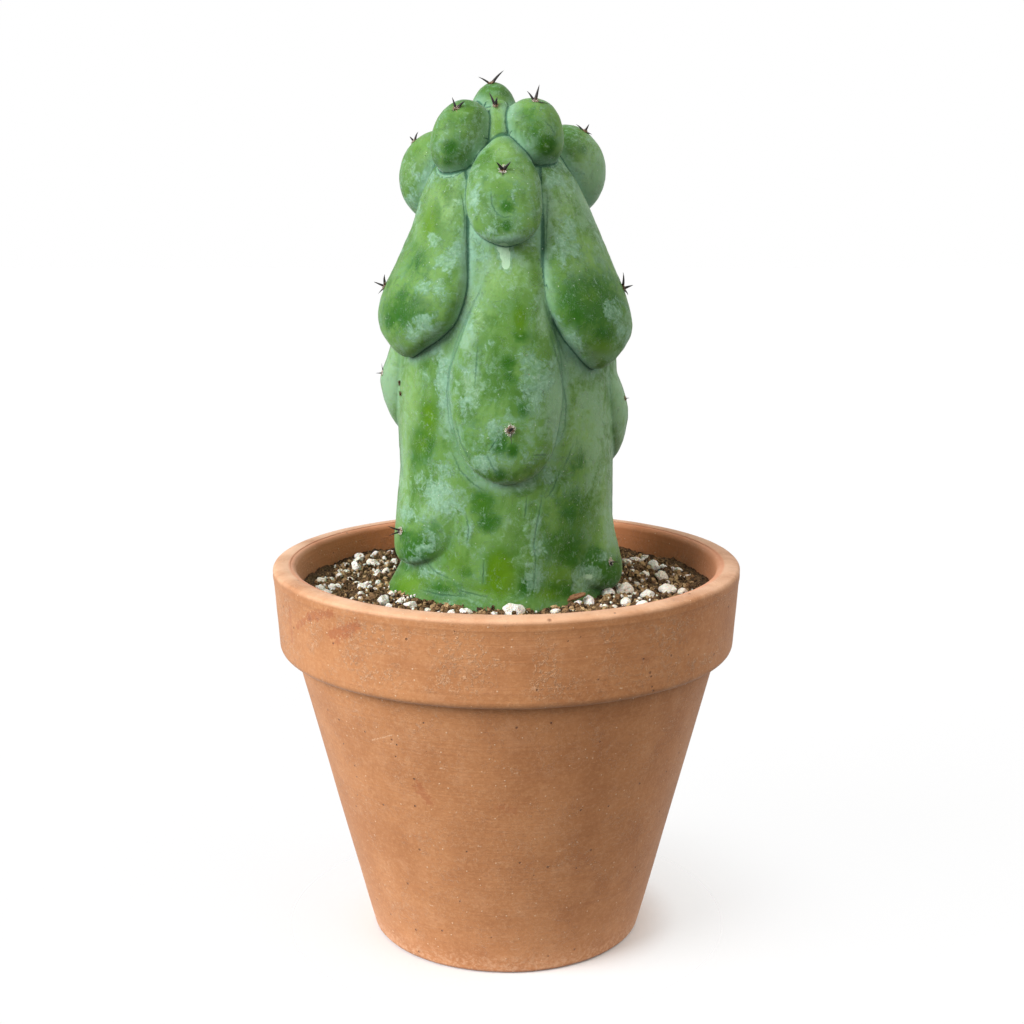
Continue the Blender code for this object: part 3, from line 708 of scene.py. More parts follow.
def make_tubercle(name, softness, square_left, square_right, lower_left, lower_right, rows):
    """A tubercle raised from the stem between two edges drawn up along it, and sunk into the stem behind."""
    lobe, ball = add_ball(name, 96, 96)
    heights, left, right, reliefs = np.array(rows, float).T
    v = ball[:, 2]
    height = heights[0] + (heights[-1] - heights[0]) * (v + 1) / 2
    round_share = np.sqrt(np.clip(1 - v**2, 0, None)) + 1e-9
    across, outside = ball[:, 0] / round_share, -ball[:, 1] / round_share
    closed = np.sqrt(np.clip(1 - np.abs(v) ** 10, 0, 1))
    left, right = curve_through(heights, left, height), curve_through(heights, right, height)
    turn = (left + right) / 2 + (right - left) / 2 * across * closed
    square = np.where(across < 0, square_left, square_right)
    swell = np.clip(1 - np.abs(across) ** square, 0, 1) ** softness
    swell *= 1 - lower_left * (1 - across) / 2 - lower_right * (1 + across) / 2
    lift = np.where(outside > 0, curve_through(heights, reliefs, height) * swell, 5 * outside) * closed
    shape(lobe, settled(np.radians(turn), height, lift))
    return lobe


def make_round_tubercle(azimuth, out, aside, height, half_width, half_length, half_depth, tilt, square):
    """A young tubercle near the tip: an egg that leans in towards it."""
    egg, ball = add_ball("round_tubercle", 64, 48)
    ball /= (np.abs(ball) ** square).sum(axis=1, keepdims=True) ** (1 / square)
    turn, lean = math.radians(azimuth), math.radians(tilt)
    level = np.array((math.sin(turn), -math.cos(turn), 0))
    sideways = np.array((math.cos(turn), math.sin(turn), 0))
    upright = np.array((0, 0, 1))
    lengthwise = upright * math.cos(lean) - level * math.sin(lean)
    outward = level * math.cos(lean) + upright * math.sin(lean)
    centre = level * out + sideways * aside + upright * height
    centre = centre - np.array((TOP_LEAN * faded(height, LEAN_LOW, LEAN_HIGH), 0, 0.8))
    places = centre + ball[:, :1] * half_width * sideways + ball[:, 2:] * half_length * lengthwise
    shape(egg, places - ball[:, 1:2] * half_depth * outward)
    return egg


VOXEL = 0.48
SKIN_TRIANGLES = 192000
forms = [make_column()]
forms += [make_tubercle(name, *sizes[1:]) for name, sizes in TUBERCLES.items()]
forms += [make_round_tubercle(*sizes) for sizes in ROUND_TUBERCLES]
folds = [1] + [sizes[0] for sizes in TUBERCLES.values()] + [1] * len(ROUND_TUBERCLES)
form_surfaces = []
for form in forms:
    spots = np.array([v.co for v in form.data.vertices])
    surface = BVHTree.FromPolygons(spots.tolist(), [tuple(f.vertices) for f in form.data.polygons])
    form_surfaces.append((surface, spots.min(axis=0), spots.max(axis=0)))
bpy.ops.object.select_all(action="DESELECT")
for form in forms:
    form.select_set(True)
cactus = forms[0]
bpy.context.view_layer.objects.active = cactus
bpy.ops.object.join()
cactus.name = "cactus_skin"
bpy.ops.object.transform_apply(location=True, rotation=True, scale=True)
apply_modifier(cactus, "grown_together", "REMESH", mode="VOXEL", voxel_size=VOXEL * MM)
apply_modifier(cactus, "eased", "SMOOTH", factor=0.5, iterations=3)
add_unevenness(cactus, 9, 0.5)
add_unevenness(cactus, 2.4, 0.16)
triangles = sum(len(f.vertices) - 2 for f in cactus.data.polygons)
apply_modifier(cactus, "thinned", "DECIMATE", ratio=min(1, SKIN_TRIANGLES / triangles))
bpy.ops.object.shade_smooth()

# Where two forms of the skin meet there is a fold. Each point of the skin learns how far the nearest fold is, with a
# sign that changes across it, and how sharply the skin turns there.
FAR_AWAY, FOLD_REACH = 9.0, 4
spots = np.array([v.co for v in cactus.data.vertices])
fold_away = np.full(len(spots), FAR_AWAY)
fold_depth = np.zeros(len(spots))
found = [[] for _ in spots]
for number, (surface, low, high) in enumerate(form_surfaces):
    for i in np.flatnonzero(((spots > low - 3 * MM) & (spots < high + 3 * MM)).all(axis=1)):
        place, way, _, away = surface.find_nearest(spots[i], FOLD_REACH * MM)
        if place:
            found[i].append((away / MM, number, way))
for i, hits in enumerate(found):
    if len(hits) > 1:
        (_, first, first_way), (away, second, second_way) = sorted(hits, key=lambda hit: hit[0])[:2]
        fold_away[i] = away if first < second else -away
        fold_depth[i] = faded(1 - first_way.dot(second_way), 0.04, 0.35) * folds[first] * folds[second]


def seen_at(points):
    """Columns and rows of the picture where points in metres would show."""
    away = points - np.array(VIEW_FROM)
    right, up = away[:, 0], away @ np.array(UPWARD)
    scale = FOCAL_PIXELS / (away @ np.array(FORWARD))
    return np.stack((MIDDLE_COLUMN + right * scale, PICTURE / 2 - up * scale), axis=-1)


# Wrinkles in the skin that no form makes, as lines down the picture, each painted with a thin dark line of shade.
WRINKLES = (
    ((491, 190), (492, 204), (497, 214), (505, 218), (514, 216)), ((461, 192), (464, 205), (465, 222), (465, 240)),
    ((547, 190), (547, 215), (546, 240), (546, 262)),
    ((543, 488), (540, 510), (537, 525), (534, 545), (536, 560), (534, 590)), ((527, 497), (525, 520)),
    ((420, 590), (440, 595), (470, 597)), ((466, 512), (469, 530), (467, 545)), ((484, 560), (483, 585)),
    ((452, 452), (460, 470), (472, 483), (486, 492)), ((573, 445), (568, 458), (563, 470)), ((548, 455), (532, 456)),
    ((455, 420), (461, 444), (472, 463)), ((486, 452), (492, 466), (499, 477)), ((398, 420), (400, 450), (403, 480)),
    ((543, 120), (551, 127), (556, 136)), ((462, 222), (470, 219)), ((497, 440), (489, 452)), ((478, 346), (475, 388)),
    ((543, 296), (549, 320), (560, 345), (568, 364)),
    ((483, 285), (470, 312), (459, 343), (450, 368), (447, 393), (449, 420), (455, 440)),
    ((546, 318), (554, 347), (560, 368), (566, 402), (565, 427), (558, 445)), ((421, 555), (435, 572), (452, 580)),
    ((455, 590), (490, 598)), ((560, 470), (553, 490), (545, 500)),
)
# Places where the bloom is rubbed off or thick, where the skin is dusty all over, and where it is fresh and light or
# yellowish: column, row, reach across, reach down, how much. Some rubbed patches are painted shade, as in the hollow
# below the shield's areole, and some dusty and fresh patches are painted light that brightens the right side of the
# stem.
RUBBED_AND_PAINTED_SHADE = (
    (507, 196, 14, 16, 0.5), (450, 148, 8, 8, 1), (448, 162, 6, 6, 0.9), (468, 107, 9, 6, 0.5), (525, 114, 13, 10, 0.7),
    (546, 145, 9, 9, 1), (535, 132, 6, 6, 0.8), (433, 166, 7, 8, 0.7), (416, 149, 9, 7, 0.6), (507, 207, 7, 6, 1),
    (506, 226, 6, 7, 1), (485, 181, 5, 8, 0.6), (499, 442, 9, 11, 1), (582, 149, 8, 9, 0.7), (447, 195, 5, 12, 0.7),
    (437, 213, 6, 14, 0.7), (427, 229, 6, 12, 0.6), (404, 308, 22, 24, 1), (392, 320, 10, 12, 0.9),
    (418, 265, 20, 24, 0.6), (590, 303, 28, 28, 1.3), (600, 332, 16, 12, 0.9), (568, 298, 10, 14, 0.8),
    (577, 256, 15, 16, 0.4), (520, 318, 7, 18, 0.9), (520, 336, 9, 8, 1), (508, 363, 9, 9, 1), (463, 363, 6, 12, 0.5),
    (477, 346, 8, 8, 0.6), (535, 274, 8, 14, 0.5), (511, 378, 9, 8, 0.9), (522, 410, 8, 10, 0.7),
    (429, 417, 10, 18, 0.9), (424, 442, 15, 18, 0.9), (416, 458, 10, 14, 0.8), (513, 450, 6, 8, 1),
    (500, 476, 9, 8, 0.9), (575, 465, 13, 18, 0.7), (572, 511, 20, 22, 0.7), (566, 548, 24, 22, 0.9),
    (481, 504, 14, 14, 0.9), (488, 522, 14, 12, 0.9), (432, 528, 14, 12, 0.6), (407, 536, 9, 8, 1),
    (495, 572, 13, 22, 1), (502, 556, 10, 12, 0.9), (466, 572, 9, 8, 0.8), (397, 576, 8, 8, 0.8),
    (527, 586, 14, 10, 0.9), (559, 590, 18, 12, 1), (400, 590, 18, 10, 0.9), (600, 590, 14, 8, 1.2),
    (443, 590, 24, 10, 0.9), (610, 575, 12, 16, 1.4), (596, 562, 16, 18, 1.2), (572, 560, 12, 12, 0.9),
    (416, 548, 20, 18, 1.1), (405, 562, 10, 10, 1), (446, 552, 12, 20, 0.5), (473, 420, 8, 12, 0.4),
)
BLOOM = (
    (556, 181, 14, 7, 0.9), (427, 177, 10, 8, 0.9), (413, 200, 10, 14, 0.8), (561, 169, 9, 9, 0.8),
    (576, 181, 8, 10, 0.7), (476, 200, 6, 14, 0.7), (513, 191, 6, 8, 0.6), (493, 231, 10, 6, 0.8), (505, 240, 16, 5, 1),
    (434, 239, 8, 8, 0.8), (568, 226, 10, 14, 0.8), (446, 262, 10, 12, 1), (454, 250, 8, 8, 0.9),
    (423, 287, 12, 8, 0.8), (437, 294, 10, 8, 0.7), (422, 324, 13, 9, 0.9), (412, 334, 9, 7, 0.8),
    (477, 256, 10, 10, 0.9), (565, 246, 11, 16, 0.9), (571, 234, 8, 8, 0.8), (614, 315, 11, 14, 0.8),
    (623, 332, 8, 10, 0.8), (573, 348, 9, 14, 1), (532, 363, 15, 10, 1), (437, 349, 8, 6, 0.9), (466, 320, 7, 12, 0.8),
    (536, 376, 17, 18, 1.2), (538, 396, 10, 10, 0.9), (463, 404, 9, 12, 0.8), (495, 433, 10, 12, 0.8),
    (484, 465, 16, 12, 0.9), (506, 484, 14, 6, 0.9), (531, 458, 12, 9, 0.7), (436, 492, 17, 17, 1.1),
    (450, 506, 13, 9, 1), (442, 475, 8, 12, 0.8), (422, 549, 12, 7, 0.9), (406, 515, 8, 9, 0.8), (470, 529, 5, 14, 0.8),
    (536, 551, 8, 16, 0.8), (534, 576, 9, 14, 0.9), (588, 577, 15, 10, 1.3), (578, 588, 8, 6, 1), (602, 556, 6, 6, 0.8),
    (441, 383, 7, 26, 0.9), (441, 351, 7, 9, 0.8), (559, 440, 9, 14, 0.7), (550, 476, 9, 12, 0.7),
    (425, 537, 10, 6, 0.7), (415, 562, 9, 5, 0.8), (503, 248, 7.5, 6, 2), (505, 255, 6.5, 8, 2), (506, 263, 5.2, 8, 2),
    (473, 146, 7, 10, 0.5), (467, 372, 9, 10, 0.6), (455, 330, 7, 12, 0.7), (556, 322, 5, 12, 0.8),
    (492, 345, 6, 12, 0.5), (545, 515, 7, 18, 0.5), (429, 574, 14, 5, 0.8), (398, 500, 6, 14, 0.5),
    (420, 520, 8, 8, 0.5), (478, 240, 7, 10, 0.8), (530, 240, 7, 10, 0.8),
)
HAZE_AND_PAINTED_LIGHT = (
    (412, 185, 26, 40, 0.4), (600, 190, 26, 42, 1.4), (476, 205, 5, 30, 0.5), (546, 205, 8, 34, 0.9),
    (506, 240, 30, 10, 0.9), (470, 190, 8, 26, 0.6), (470, 240, 8, 30, 0.8), (505, 262, 40, 18, 0.7),
    (455, 172, 12, 8, 0.8), (560, 182, 14, 10, 1), (562, 215, 12, 40, 0.7), (430, 335, 26, 10, 0.9),
    (600, 352, 20, 9, 0.9), (624, 330, 10, 22, 0.9), (435, 355, 24, 12, 0.6), (570, 355, 14, 26, 1.1),
    (555, 400, 14, 40, 1.2), (592, 425, 22, 70, 0.9), (505, 470, 20, 14, 0.6), (384, 385, 14, 40, 1.3),
    (622, 400, 14, 44, 1.1), (448, 400, 12, 50, 0.7), (500, 485, 30, 8, 0.9), (440, 500, 24, 22, 0.9),
    (535, 540, 12, 30, 0.6), (465, 540, 10, 30, 0.5), (545, 300, 8, 40, 0.9), (466, 320, 8, 40, 0.9),
    (535, 430, 20, 20, 0.5), (610, 520, 8, 60, 0.9), (400, 480, 8, 60, 0.6), (517, 108, 10, 14, 0.7),
    (478, 140, 8, 18, 0.6), (527, 150, 12, 10, 0.5), (440, 155, 8, 14, 0.4), (560, 150, 8, 18, 0.4),
    (575, 270, 16, 20, 0.5), (600, 250, 10, 30, 0.6), (500, 400, 30, 40, 0.3), (470, 385, 12, 34, 0.8),
    (505, 530, 26, 22, 0.2), (600, 352, 24, 12, 0.6), (560, 205, 14, 40, 0.5),
)
FRESH_AND_PAINTED_LIGHT = (
    (440, 203, 14, 18, 1), (424, 232, 12, 20, 0.7), (566, 212, 12, 24, 0.9), (582, 252, 16, 22, 0.8),
    (505, 272, 26, 20, 0.9), (500, 530, 30, 26, 0.5), (585, 430, 22, 46, 1.1), (415, 420, 10, 20, 0.5),
    (470, 300, 8, 14, 0.8), (411, 400, 10, 40, 1), (404, 455, 7, 50, 1), (470, 390, 10, 18, 0.5),
    (503, 148, 12, 12, 0.9), (497, 125, 8, 22, 1.1), (507, 175, 26, 10, 0.6), (600, 480, 14, 60, 0.6),
    (560, 420, 14, 40, 0.6), (604, 505, 6, 80, 0.9), (602, 415, 10, 40, 0.7), (388, 385, 12, 40, 1.2),
    (620, 410, 12, 40, 1), (478, 320, 8, 14, 0.6), (425, 500, 20, 30, 0.4), (545, 330, 8, 20, 0.6),
    (590, 165, 16, 26, 1), (408, 175, 8, 20, 0.6), (460, 112, 12, 6, 0.5),
)
YELLOWED = (
    (410, 585, 18, 12, 0.9), (455, 560, 22, 18, 0.7), (560, 575, 16, 14, 0.7), (440, 560, 14, 14, 0.5),
    (530, 560, 14, 20, 0.6), (520, 318, 9, 20, 0.8), (500, 575, 16, 24, 1.2), (416, 149, 9, 7, 0.6),
    (498, 127, 7, 16, 0.8), (430, 225, 10, 28, 0.8), (429, 417, 10, 26, 0.8), (535, 274, 10, 18, 0.6),
    (481, 504, 12, 10, 0.5), (548, 594, 16, 8, 0.8), (590, 296, 12, 10, 0.6), (602, 348, 16, 9, 0.9),
    (585, 440, 14, 40, 0.4), (445, 190, 8, 14, 0.6), (495, 112, 5, 6, 0.8), (470, 110, 8, 5, 0.6),
    (497, 100, 16, 4, 0.9), (420, 445, 10, 14, 0.7), (560, 545, 14, 16, 0.4), (487, 590, 20, 10, 0.8),
    (503, 330, 22, 50, 0.45), (448, 162, 6, 6, 0.4), (546, 145, 8, 8, 0.5), (495, 165, 10, 8, 0.5),
    (549, 290, 5, 30, 0.7), (580, 215, 12, 22, 0.4), (455, 480, 6, 10, 0.3),
)
PIXELS_PER_MM = 3.2
columns_rows = seen_at(spots)
ways = np.empty(len(spots) * 3, np.float32)
cactus.data.vertex_normals.foreach_get("vector", ways)
towards = unit(np.array(VIEW_FROM) - spots)
faces_view = faded((ways.reshape(-1, 3) * towards).sum(axis=1), 0.02, 0.2)
wrinkle_away = np.full(len(spots), FAR_AWAY)
wrinkle_ends = np.zeros(len(spots))
for line in WRINKLES:
    line = np.array(line, float)
    lengths = np.concatenate(([0], np.cumsum(np.linalg.norm(np.diff(line, axis=0), axis=1))))
    for start, end, passed in zip(line, line[1:], lengths):
        run = end - start
        share = np.clip(((columns_rows - start) @ run) / (run @ run), 0, 1)
        off = columns_rows - start - share[:, None] * run
        side = np.sign(run[0] * off[:, 1] - run[1] * off[:, 0])
        away = np.linalg.norm(off, axis=1) * side / PIXELS_PER_MM
        along = (passed + share * np.linalg.norm(run)) / lengths[-1]
        nearer = np.abs(away) < np.abs(wrinkle_away)
        wrinkle_away = np.where(nearer, away, wrinkle_away)
        wrinkle_ends = np.where(nearer, np.sin(np.pi * along) ** 0.5, wrinkle_ends)


def patches(hints, draw, count):
    """How much each point of the skin is touched by patches: those seen in the picture, and others elsewhere."""
    amount = np.zeros(len(spots))
    for column, row, across, down, strength in hints:
        off = (columns_rows - (column, row)) / (across, down)
        amount = np.maximum(amount, strength * np.exp(-0.7 * (off**2).sum(axis=1)) * faces_view)
    for centre in spots[draw.integers(0, len(spots), count)]:
        off = (spots - centre) / (draw.uniform(2, 5), draw.uniform(2, 5), draw.uniform(2.5, 6)) / MM
        elsewhere = draw.uniform(0.6, 1.1) * np.exp(-0.7 * (off**2).sum(axis=1))
        amount = np.maximum(amount, elsewhere * (1 - faces_view))
    return amount


draw = np.random.default_rng(5)
traits = {
    "fold": fold_away,
    "fold_sharp": fold_depth * (1 - faded(np.abs(fold_away), 1.2, 2.4)),
    "fold_side": fold_depth * (1 - faded(np.abs(fold_away), 0.4, 4.4)),
    "wrinkle": wrinkle_away,
    "wrinkle_sharp": wrinkle_ends * faces_view * (1 - faded(np.abs(wrinkle_away), 1.2, 2.4)),
    "rubbed_and_painted_shade": patches(RUBBED_AND_PAINTED_SHADE, draw, 90),
    "bloom": patches(BLOOM, draw, 120),
    "yellowed": patches(YELLOWED, draw, 50),
    "fresh_and_painted_light": patches(FRESH_AND_PAINTED_LIGHT, draw, 60),
    "haze_and_painted_light": patches(HAZE_AND_PAINTED_LIGHT, draw, 110),
}
for name, values in traits.items():
    trait = cactus.data.attributes.new(name, "FLOAT", "POINT")
    trait.data.foreach_set("value", values.astype(np.float32))

waxy = {"Specular IOR Level": 0.14, "Sheen Weight": 0.3, "Sheen Roughness": 0.22, "Sheen Tint": (0.8, 1, 0.9, 1)}
skin = Finish("waxy_skin", {**waxy, "Subsurface Weight": 0.04, "Subsurface Scale": 0.003})
fold, sharp, side, wrinkle, wrinkle_sharp, rubbed_and_painted_shade, bloom, yellowed, fresh_and_painted_light, haze_and_painted_light = map(skin.attribute, traits)
broad = skin.noise(0.045, 3, 0.5)
streaks = skin.noise(0.14, 5, 0.62, 0.4, at=skin.stretched(1, 1, 0.4))
film = skin.noise(0.19, 6, 0.7, 0.5)
fine = skin.noise(1.1, 5, 0.65)
feathers = skin.noise(0.5, 6, 0.78, 0.9)
ragged = (film - 0.5) * 2.2 + (feathers - 0.5) * 1.6
worn_and_painted_shade = skin.rise(rubbed_and_painted_shade + ragged * 0.6 + (streaks - 0.5) * 1.2, 0.22, 0.95)
dusty = skin.rise(bloom + ragged * 0.95, 0.38, 0.72)
dust = skin.blend((0.155, 0.30, 0.195), (0.26, 0.44, 0.30), skin.rise(fine, 0.4, 0.62))
# A pale bluish band beside each fold: partly the bloom's own colour and partly a painted highlight along the fold's
# raised edge.
bloom_and_painted_highlight = side * (0.5 + skin.rise(streaks, 0.4, 0.6) * 0.25) * (1 - skin.rise(fresh_and_painted_light, 0.3, 1) * 0.8)
# Painted shade: a thin dark line along each fold where the skin turns sharply, and along each wrinkle.
line = skin.rise(abs(fold + (fine - 0.5) * 0.4), 0.85, 0.25) * skin.rise(sharp, 0.3, 0.85)
painted_wrinkle_shade = skin.rise(abs(wrinkle + (fine - 0.5) * 1.2), 0.4, 0.02) * wrinkle_sharp
line = skin.node("Math", {"operation": "MAXIMUM"}, {0: line, 1: painted_wrinkle_shade * 0.6})
beside = skin.rise(abs(wrinkle + (fine - 0.5) * 0.8), 1.7, 0.5) * wrinkle_sharp
scratches = skin.noise(0.9, 3, 0.6, 0.5, at=skin.stretched(1, 1, 0.3))
scratched = skin.rise(abs(scratches - 0.5), 0.014, 0) * skin.rise(skin.noise(0.15, 3), 0.48, 0.6)
hairlines = skin.rise(abs(skin.noise(0.32, 4, 0.7, 1.3) - 0.5), 0.008, 0.001) * skin.rise(skin.noise(0.4, 2), 0.5, 0.6)
specks = skin.dots(0.45, 0.10, 0.55)
rust = skin.dots(0.13, 0.035, 0.68)
green = skin.layered(
    (0.063, 0.166, 0.026),
    ((0.122, 0.257, 0.055), skin.rise(broad, 0.35, 0.65)),
    ((0.17, 0.325, 0.09), skin.rise(streaks, 0.47, 0.64) * 0.55),
    ((0.036, 0.12, 0.010), skin.rise(skin.noise(0.11, 5, 0.65, 0.4), 0.5, 0.66) * 0.6),
    ((0.13, 0.27, 0.14), skin.rise(film * 0.55 + feathers * 0.45, 0.47, 0.58) * 0.6),
    # Fresh light green and the pale dusty haze; on the right side of the stem both also stand in as painted light.
    ((0.205, 0.37, 0.105), skin.rise(fresh_and_painted_light + ragged * 0.5, 0.1, 1) * 0.7),
    ((0.25, 0.415, 0.27), skin.rise(haze_and_painted_light + ragged * 1.1, 0.15, 1.05) * 0.62),
    # Rubbed-off darker green; below the shield's areole it is painted shade.
    ((0.018, 0.103, 0.003), worn_and_painted_shade * 0.9),
    ((0.095, 0.215, 0.003), skin.rise(yellowed + ragged * 0.45, 0.2, 1) * 0.85),
    (dust, dusty * (skin.rise(feathers, 0.36, 0.58) * 0.45 + 0.3)),
    ((0.42, 0.62, 0.41), skin.rise(bloom + (feathers - 0.5) * 0.5, 1.15, 1.3) * 0.9),
    ((0.27, 0.45, 0.29), skin.rise(feathers, 0.57, 0.63) * skin.rise(film, 0.42, 0.54) * 0.5),
    # The pale band beside the folds, partly painted highlight.
    ((0.21, 0.39, 0.27), bloom_and_painted_highlight),
    ((0.18, 0.34, 0.22), beside * 0.25),
    # Painted shade along the folds and wrinkles.
    ((0.018, 0.088, 0.05), line * 0.8),
    ((0.31, 0.50, 0.35), scratched * 0.45 + hairlines * 0.6),
    ((0.56, 0.70, 0.54), specks * 0.75),
    ((0.30, 0.14, 0.03), rust * 0.8),
)
skin.colour(green, 0.46 + dusty * 0.18 + worn_and_painted_shade * -0.06 + side * 0.1)
raised = fine * 0.3 + dusty * 0.2 + feathers * 0.5 + beside * 0.5 + specks * 0.6 + scratched * 0.3 + hairlines * 0.4
skin.relief(raised - line - rust * 0.5, 0.18)
finish_piece(cactus, skin, "cactus")

# The spines: two or three short stiff thorns from each areole, the cushion on a tubercle's tip.
# They are horn, dark brown to black and a little glossy, redder at the root, slightly bent and very sharp.
AREOLES_SEEN = (
    # column, row, wool's radius in mm, how pale it is; then each spine's tip: column, row, mm nearer, thickness
    (490.8, 83.4, 0.9, 0.35, ((478, 77.3, 0.5, 0.8), (504, 70.3, 0, 1.1))),
    (535, 101, 1.1, 0.6, ((526.8, 91.3, 0.6, 0.9), (539.5, 84.4, 0, 1.15), (550.3, 104.7, 0.4, 0.45))),
    (456.1, 108.5, 1.1, 0.6, ((452.1, 97.4, 0.4, 0.9), (465.1, 101.6, 0.8, 1.2), (450.9, 111.6, 0.6, 0.4))),
    (495.4, 105.6, 1.0, 0.45, ((489, 92.5, 0.6, 1), (497.4, 98.3, 1.5, 1.2))),
    (414, 141.4, 0.9, 0.7, ((409.8, 136.9, 0.5, 0.8), (418.3, 131.6, 0, 0.9))),
    (584.9, 131.6, 0.9, 0.4, ((575.7, 124.6, 0.6, 0.8), (589.1, 124.1, 0, 0.9), (592.2, 134.9, 0.2, 0.6))),
    (502.9, 169.8, 1.5, 1, ((496.2, 163.6, 2.2, 1.2), (511, 163.1, 2.2, 1.2), (502.5, 177.5, 1, 0.5))),
    (384.1, 285.9, 1.2, 0.6, ((373.7, 281.9, 0.4, 0.8), (385, 274.6, 1, 1.1), (378.3, 294.5, 0.8, 0.6))),
    (623.4, 288.4, 1.2, 0.4, ((622.9, 272.4, 0.8, 1), (633.3, 285, 0, 1), (627.8, 296, 0.8, 0.7))),
    (382.7, 372.9, 0.8, 0.8, ((375.9, 373.2, 0, 0.5), (381.8, 363, 0.4, 0.4))),
    (510.4, 430, 1.9, 1, ((508.4, 432, 2.6, 1.2), (513.4, 428.5, 2.4, 1.2), (511.5, 445, 1, 0.5))),
    (401, 530.9, 1.6, 1, ((387.7, 526, 0.6, 0.8), (389, 536, 0.8, 0.7))),
    (610.4, 561.8, 1.2, 0.75, ((612, 566, 2, 1.1), (619.5, 562, 0.8, 0.5))),
    (624.7, 398.4, 0.6, 0.5, ((629.6, 398, 0, 0.4),)),
    (400, 383, 0.8, 0.1, ()),
    (401, 393.6, 0.75, 0.1, ()),
)
# azimuth and height of the areoles on the sides that the picture doesn't show
AREOLES_ELSEWHERE = ((180, 207), (180, 246), (180, 133))
STEM_COLUMN = 503
AIMS = 20
skin_surface = BVHTree.FromObject(cactus, bpy.context.evaluated_depsgraph_get())
draw = np.random.default_rng(21)
seats = []
for column, row, width, pale, tips in AREOLES_SEEN:
    inwards = math.copysign(0.7, STEM_COLUMN - column)
    for step in range(AIMS):
        spot, way = skin_surface.ray_cast(VIEW_FROM, sight_line(column + step * inwards, row + step * 0.35))[:2]
        if spot:
            break
    ends = []
    for tip_column, tip_row, nearer, thickness in tips:
        line = sight_line(tip_column, tip_row)
        level = VIEW_FROM + line * ((spot - VIEW_FROM).dot(FORWARD) / line.dot(FORWARD))
        ends.append((level - FORWARD * nearer * MM, thickness))
    seats.append((spot, way, width, pale, ends))
for azimuth, height in AREOLES_ELSEWHERE:
    outward = Vector((math.sin(math.radians(azimuth)), -math.cos(math.radians(azimuth)), 0))
    spot, way = skin_surface.ray_cast(outward * 0.1 + Vector((0, 0, height * MM)), -outward)[:2]
    sideways = way.cross(Vector((0, 0, 1))).normalized()
    ends = []
    for lean in (-0.7, 0.75, 0.1):
        rise = way.cross(sideways) * -(0.5 - abs(lean) * 0.3)
        aimed = (way + sideways * (lean + draw.normal(0, 0.12)) + rise).normalized()
        ends.append((spot + aimed * draw.uniform(3.2, 5) * MM, draw.uniform(0.8, 1.1)))
    seats.append((spot, way, draw.uniform(0.9, 1.2), draw.uniform(0.3, 0.9), ends))


def bent_rods(rod, starts, ends, bends, radii, taper):
    """Copies of a ball drawn out into rods from start to end, each bent a little and thinning to its tip."""
    share = (rod[:, 2] + 1) / 2
    run = ends - starts
    along = unit(run)
    aside = unit(np.cross(along, np.where(np.abs(along[:, 2:]) > 0.9, (1, 0, 0), (0, 0, 1))))
    other = np.cross(along, aside)
    turn = np.arctan2(rod[:, 1], rod[:, 0])
    thick = np.minimum(1, share * 9) ** 0.5 * (1 - share) ** taper
    thick[np.abs(rod[:, 2]) > 0.9999] = 0
    middle = starts[:, None] + run[:, None] * share[:, None] + bends[:, None] * (4 * share * (1 - share))[:, None]
    ring = aside[:, None] * np.cos(turn)[:, None] + other[:, None] * np.sin(turn)[:, None]
    return middle + ring * (radii[:, None] * thick)[..., None]


SPINE_RADIUS = 0.52
rod, rod_faces = add_lump(bpy.ops.mesh.primitive_uv_sphere_add, segments=10, ring_count=16)
starts, ends, bends, radii = [], [], [], []
for spot, way, width, pale, tips in seats:
    for tip, thickness in tips:
        starts.append(spot - way * 0.35 * MM + (tip - spot) * 0.04)
        ends.append(tip)
        bends.append(way * draw.uniform(0.15, 0.4) * MM)
        radii.append(SPINE_RADIUS * MM * thickness)
rods = bent_rods(rod, *(np.array(v) for v in (starts, ends, bends, radii)), 0.8)
spines = one_piece("spines", rods, rod_faces, draw.random(len(rods)))
along = spines.data.attributes.new("along", "FLOAT", "POINT")
along.data.foreach_set("value", np.tile((rod[:, 2] + 1) / 2, len(rods)).astype(np.float32))
horn = Finish("horn", {"Specular IOR Level": 0.5})
rings = horn.noise(6, 3, 0.6)
dark = horn.layered(
    (0.075, 0.026, 0.012),
    ((0.011, 0.008, 0.007), horn.rise(horn.attribute("along") + (rings - 0.5) * 0.3, 0.04, 0.26)),
    ((0.055, 0.035, 0.025), horn.rise(rings, 0.58, 0.7) * 0.5),
)
horn.colour(dark, 0.38 + rings * 0.15)
horn.relief(rings, 0.08)
finish_piece(spines, horn)

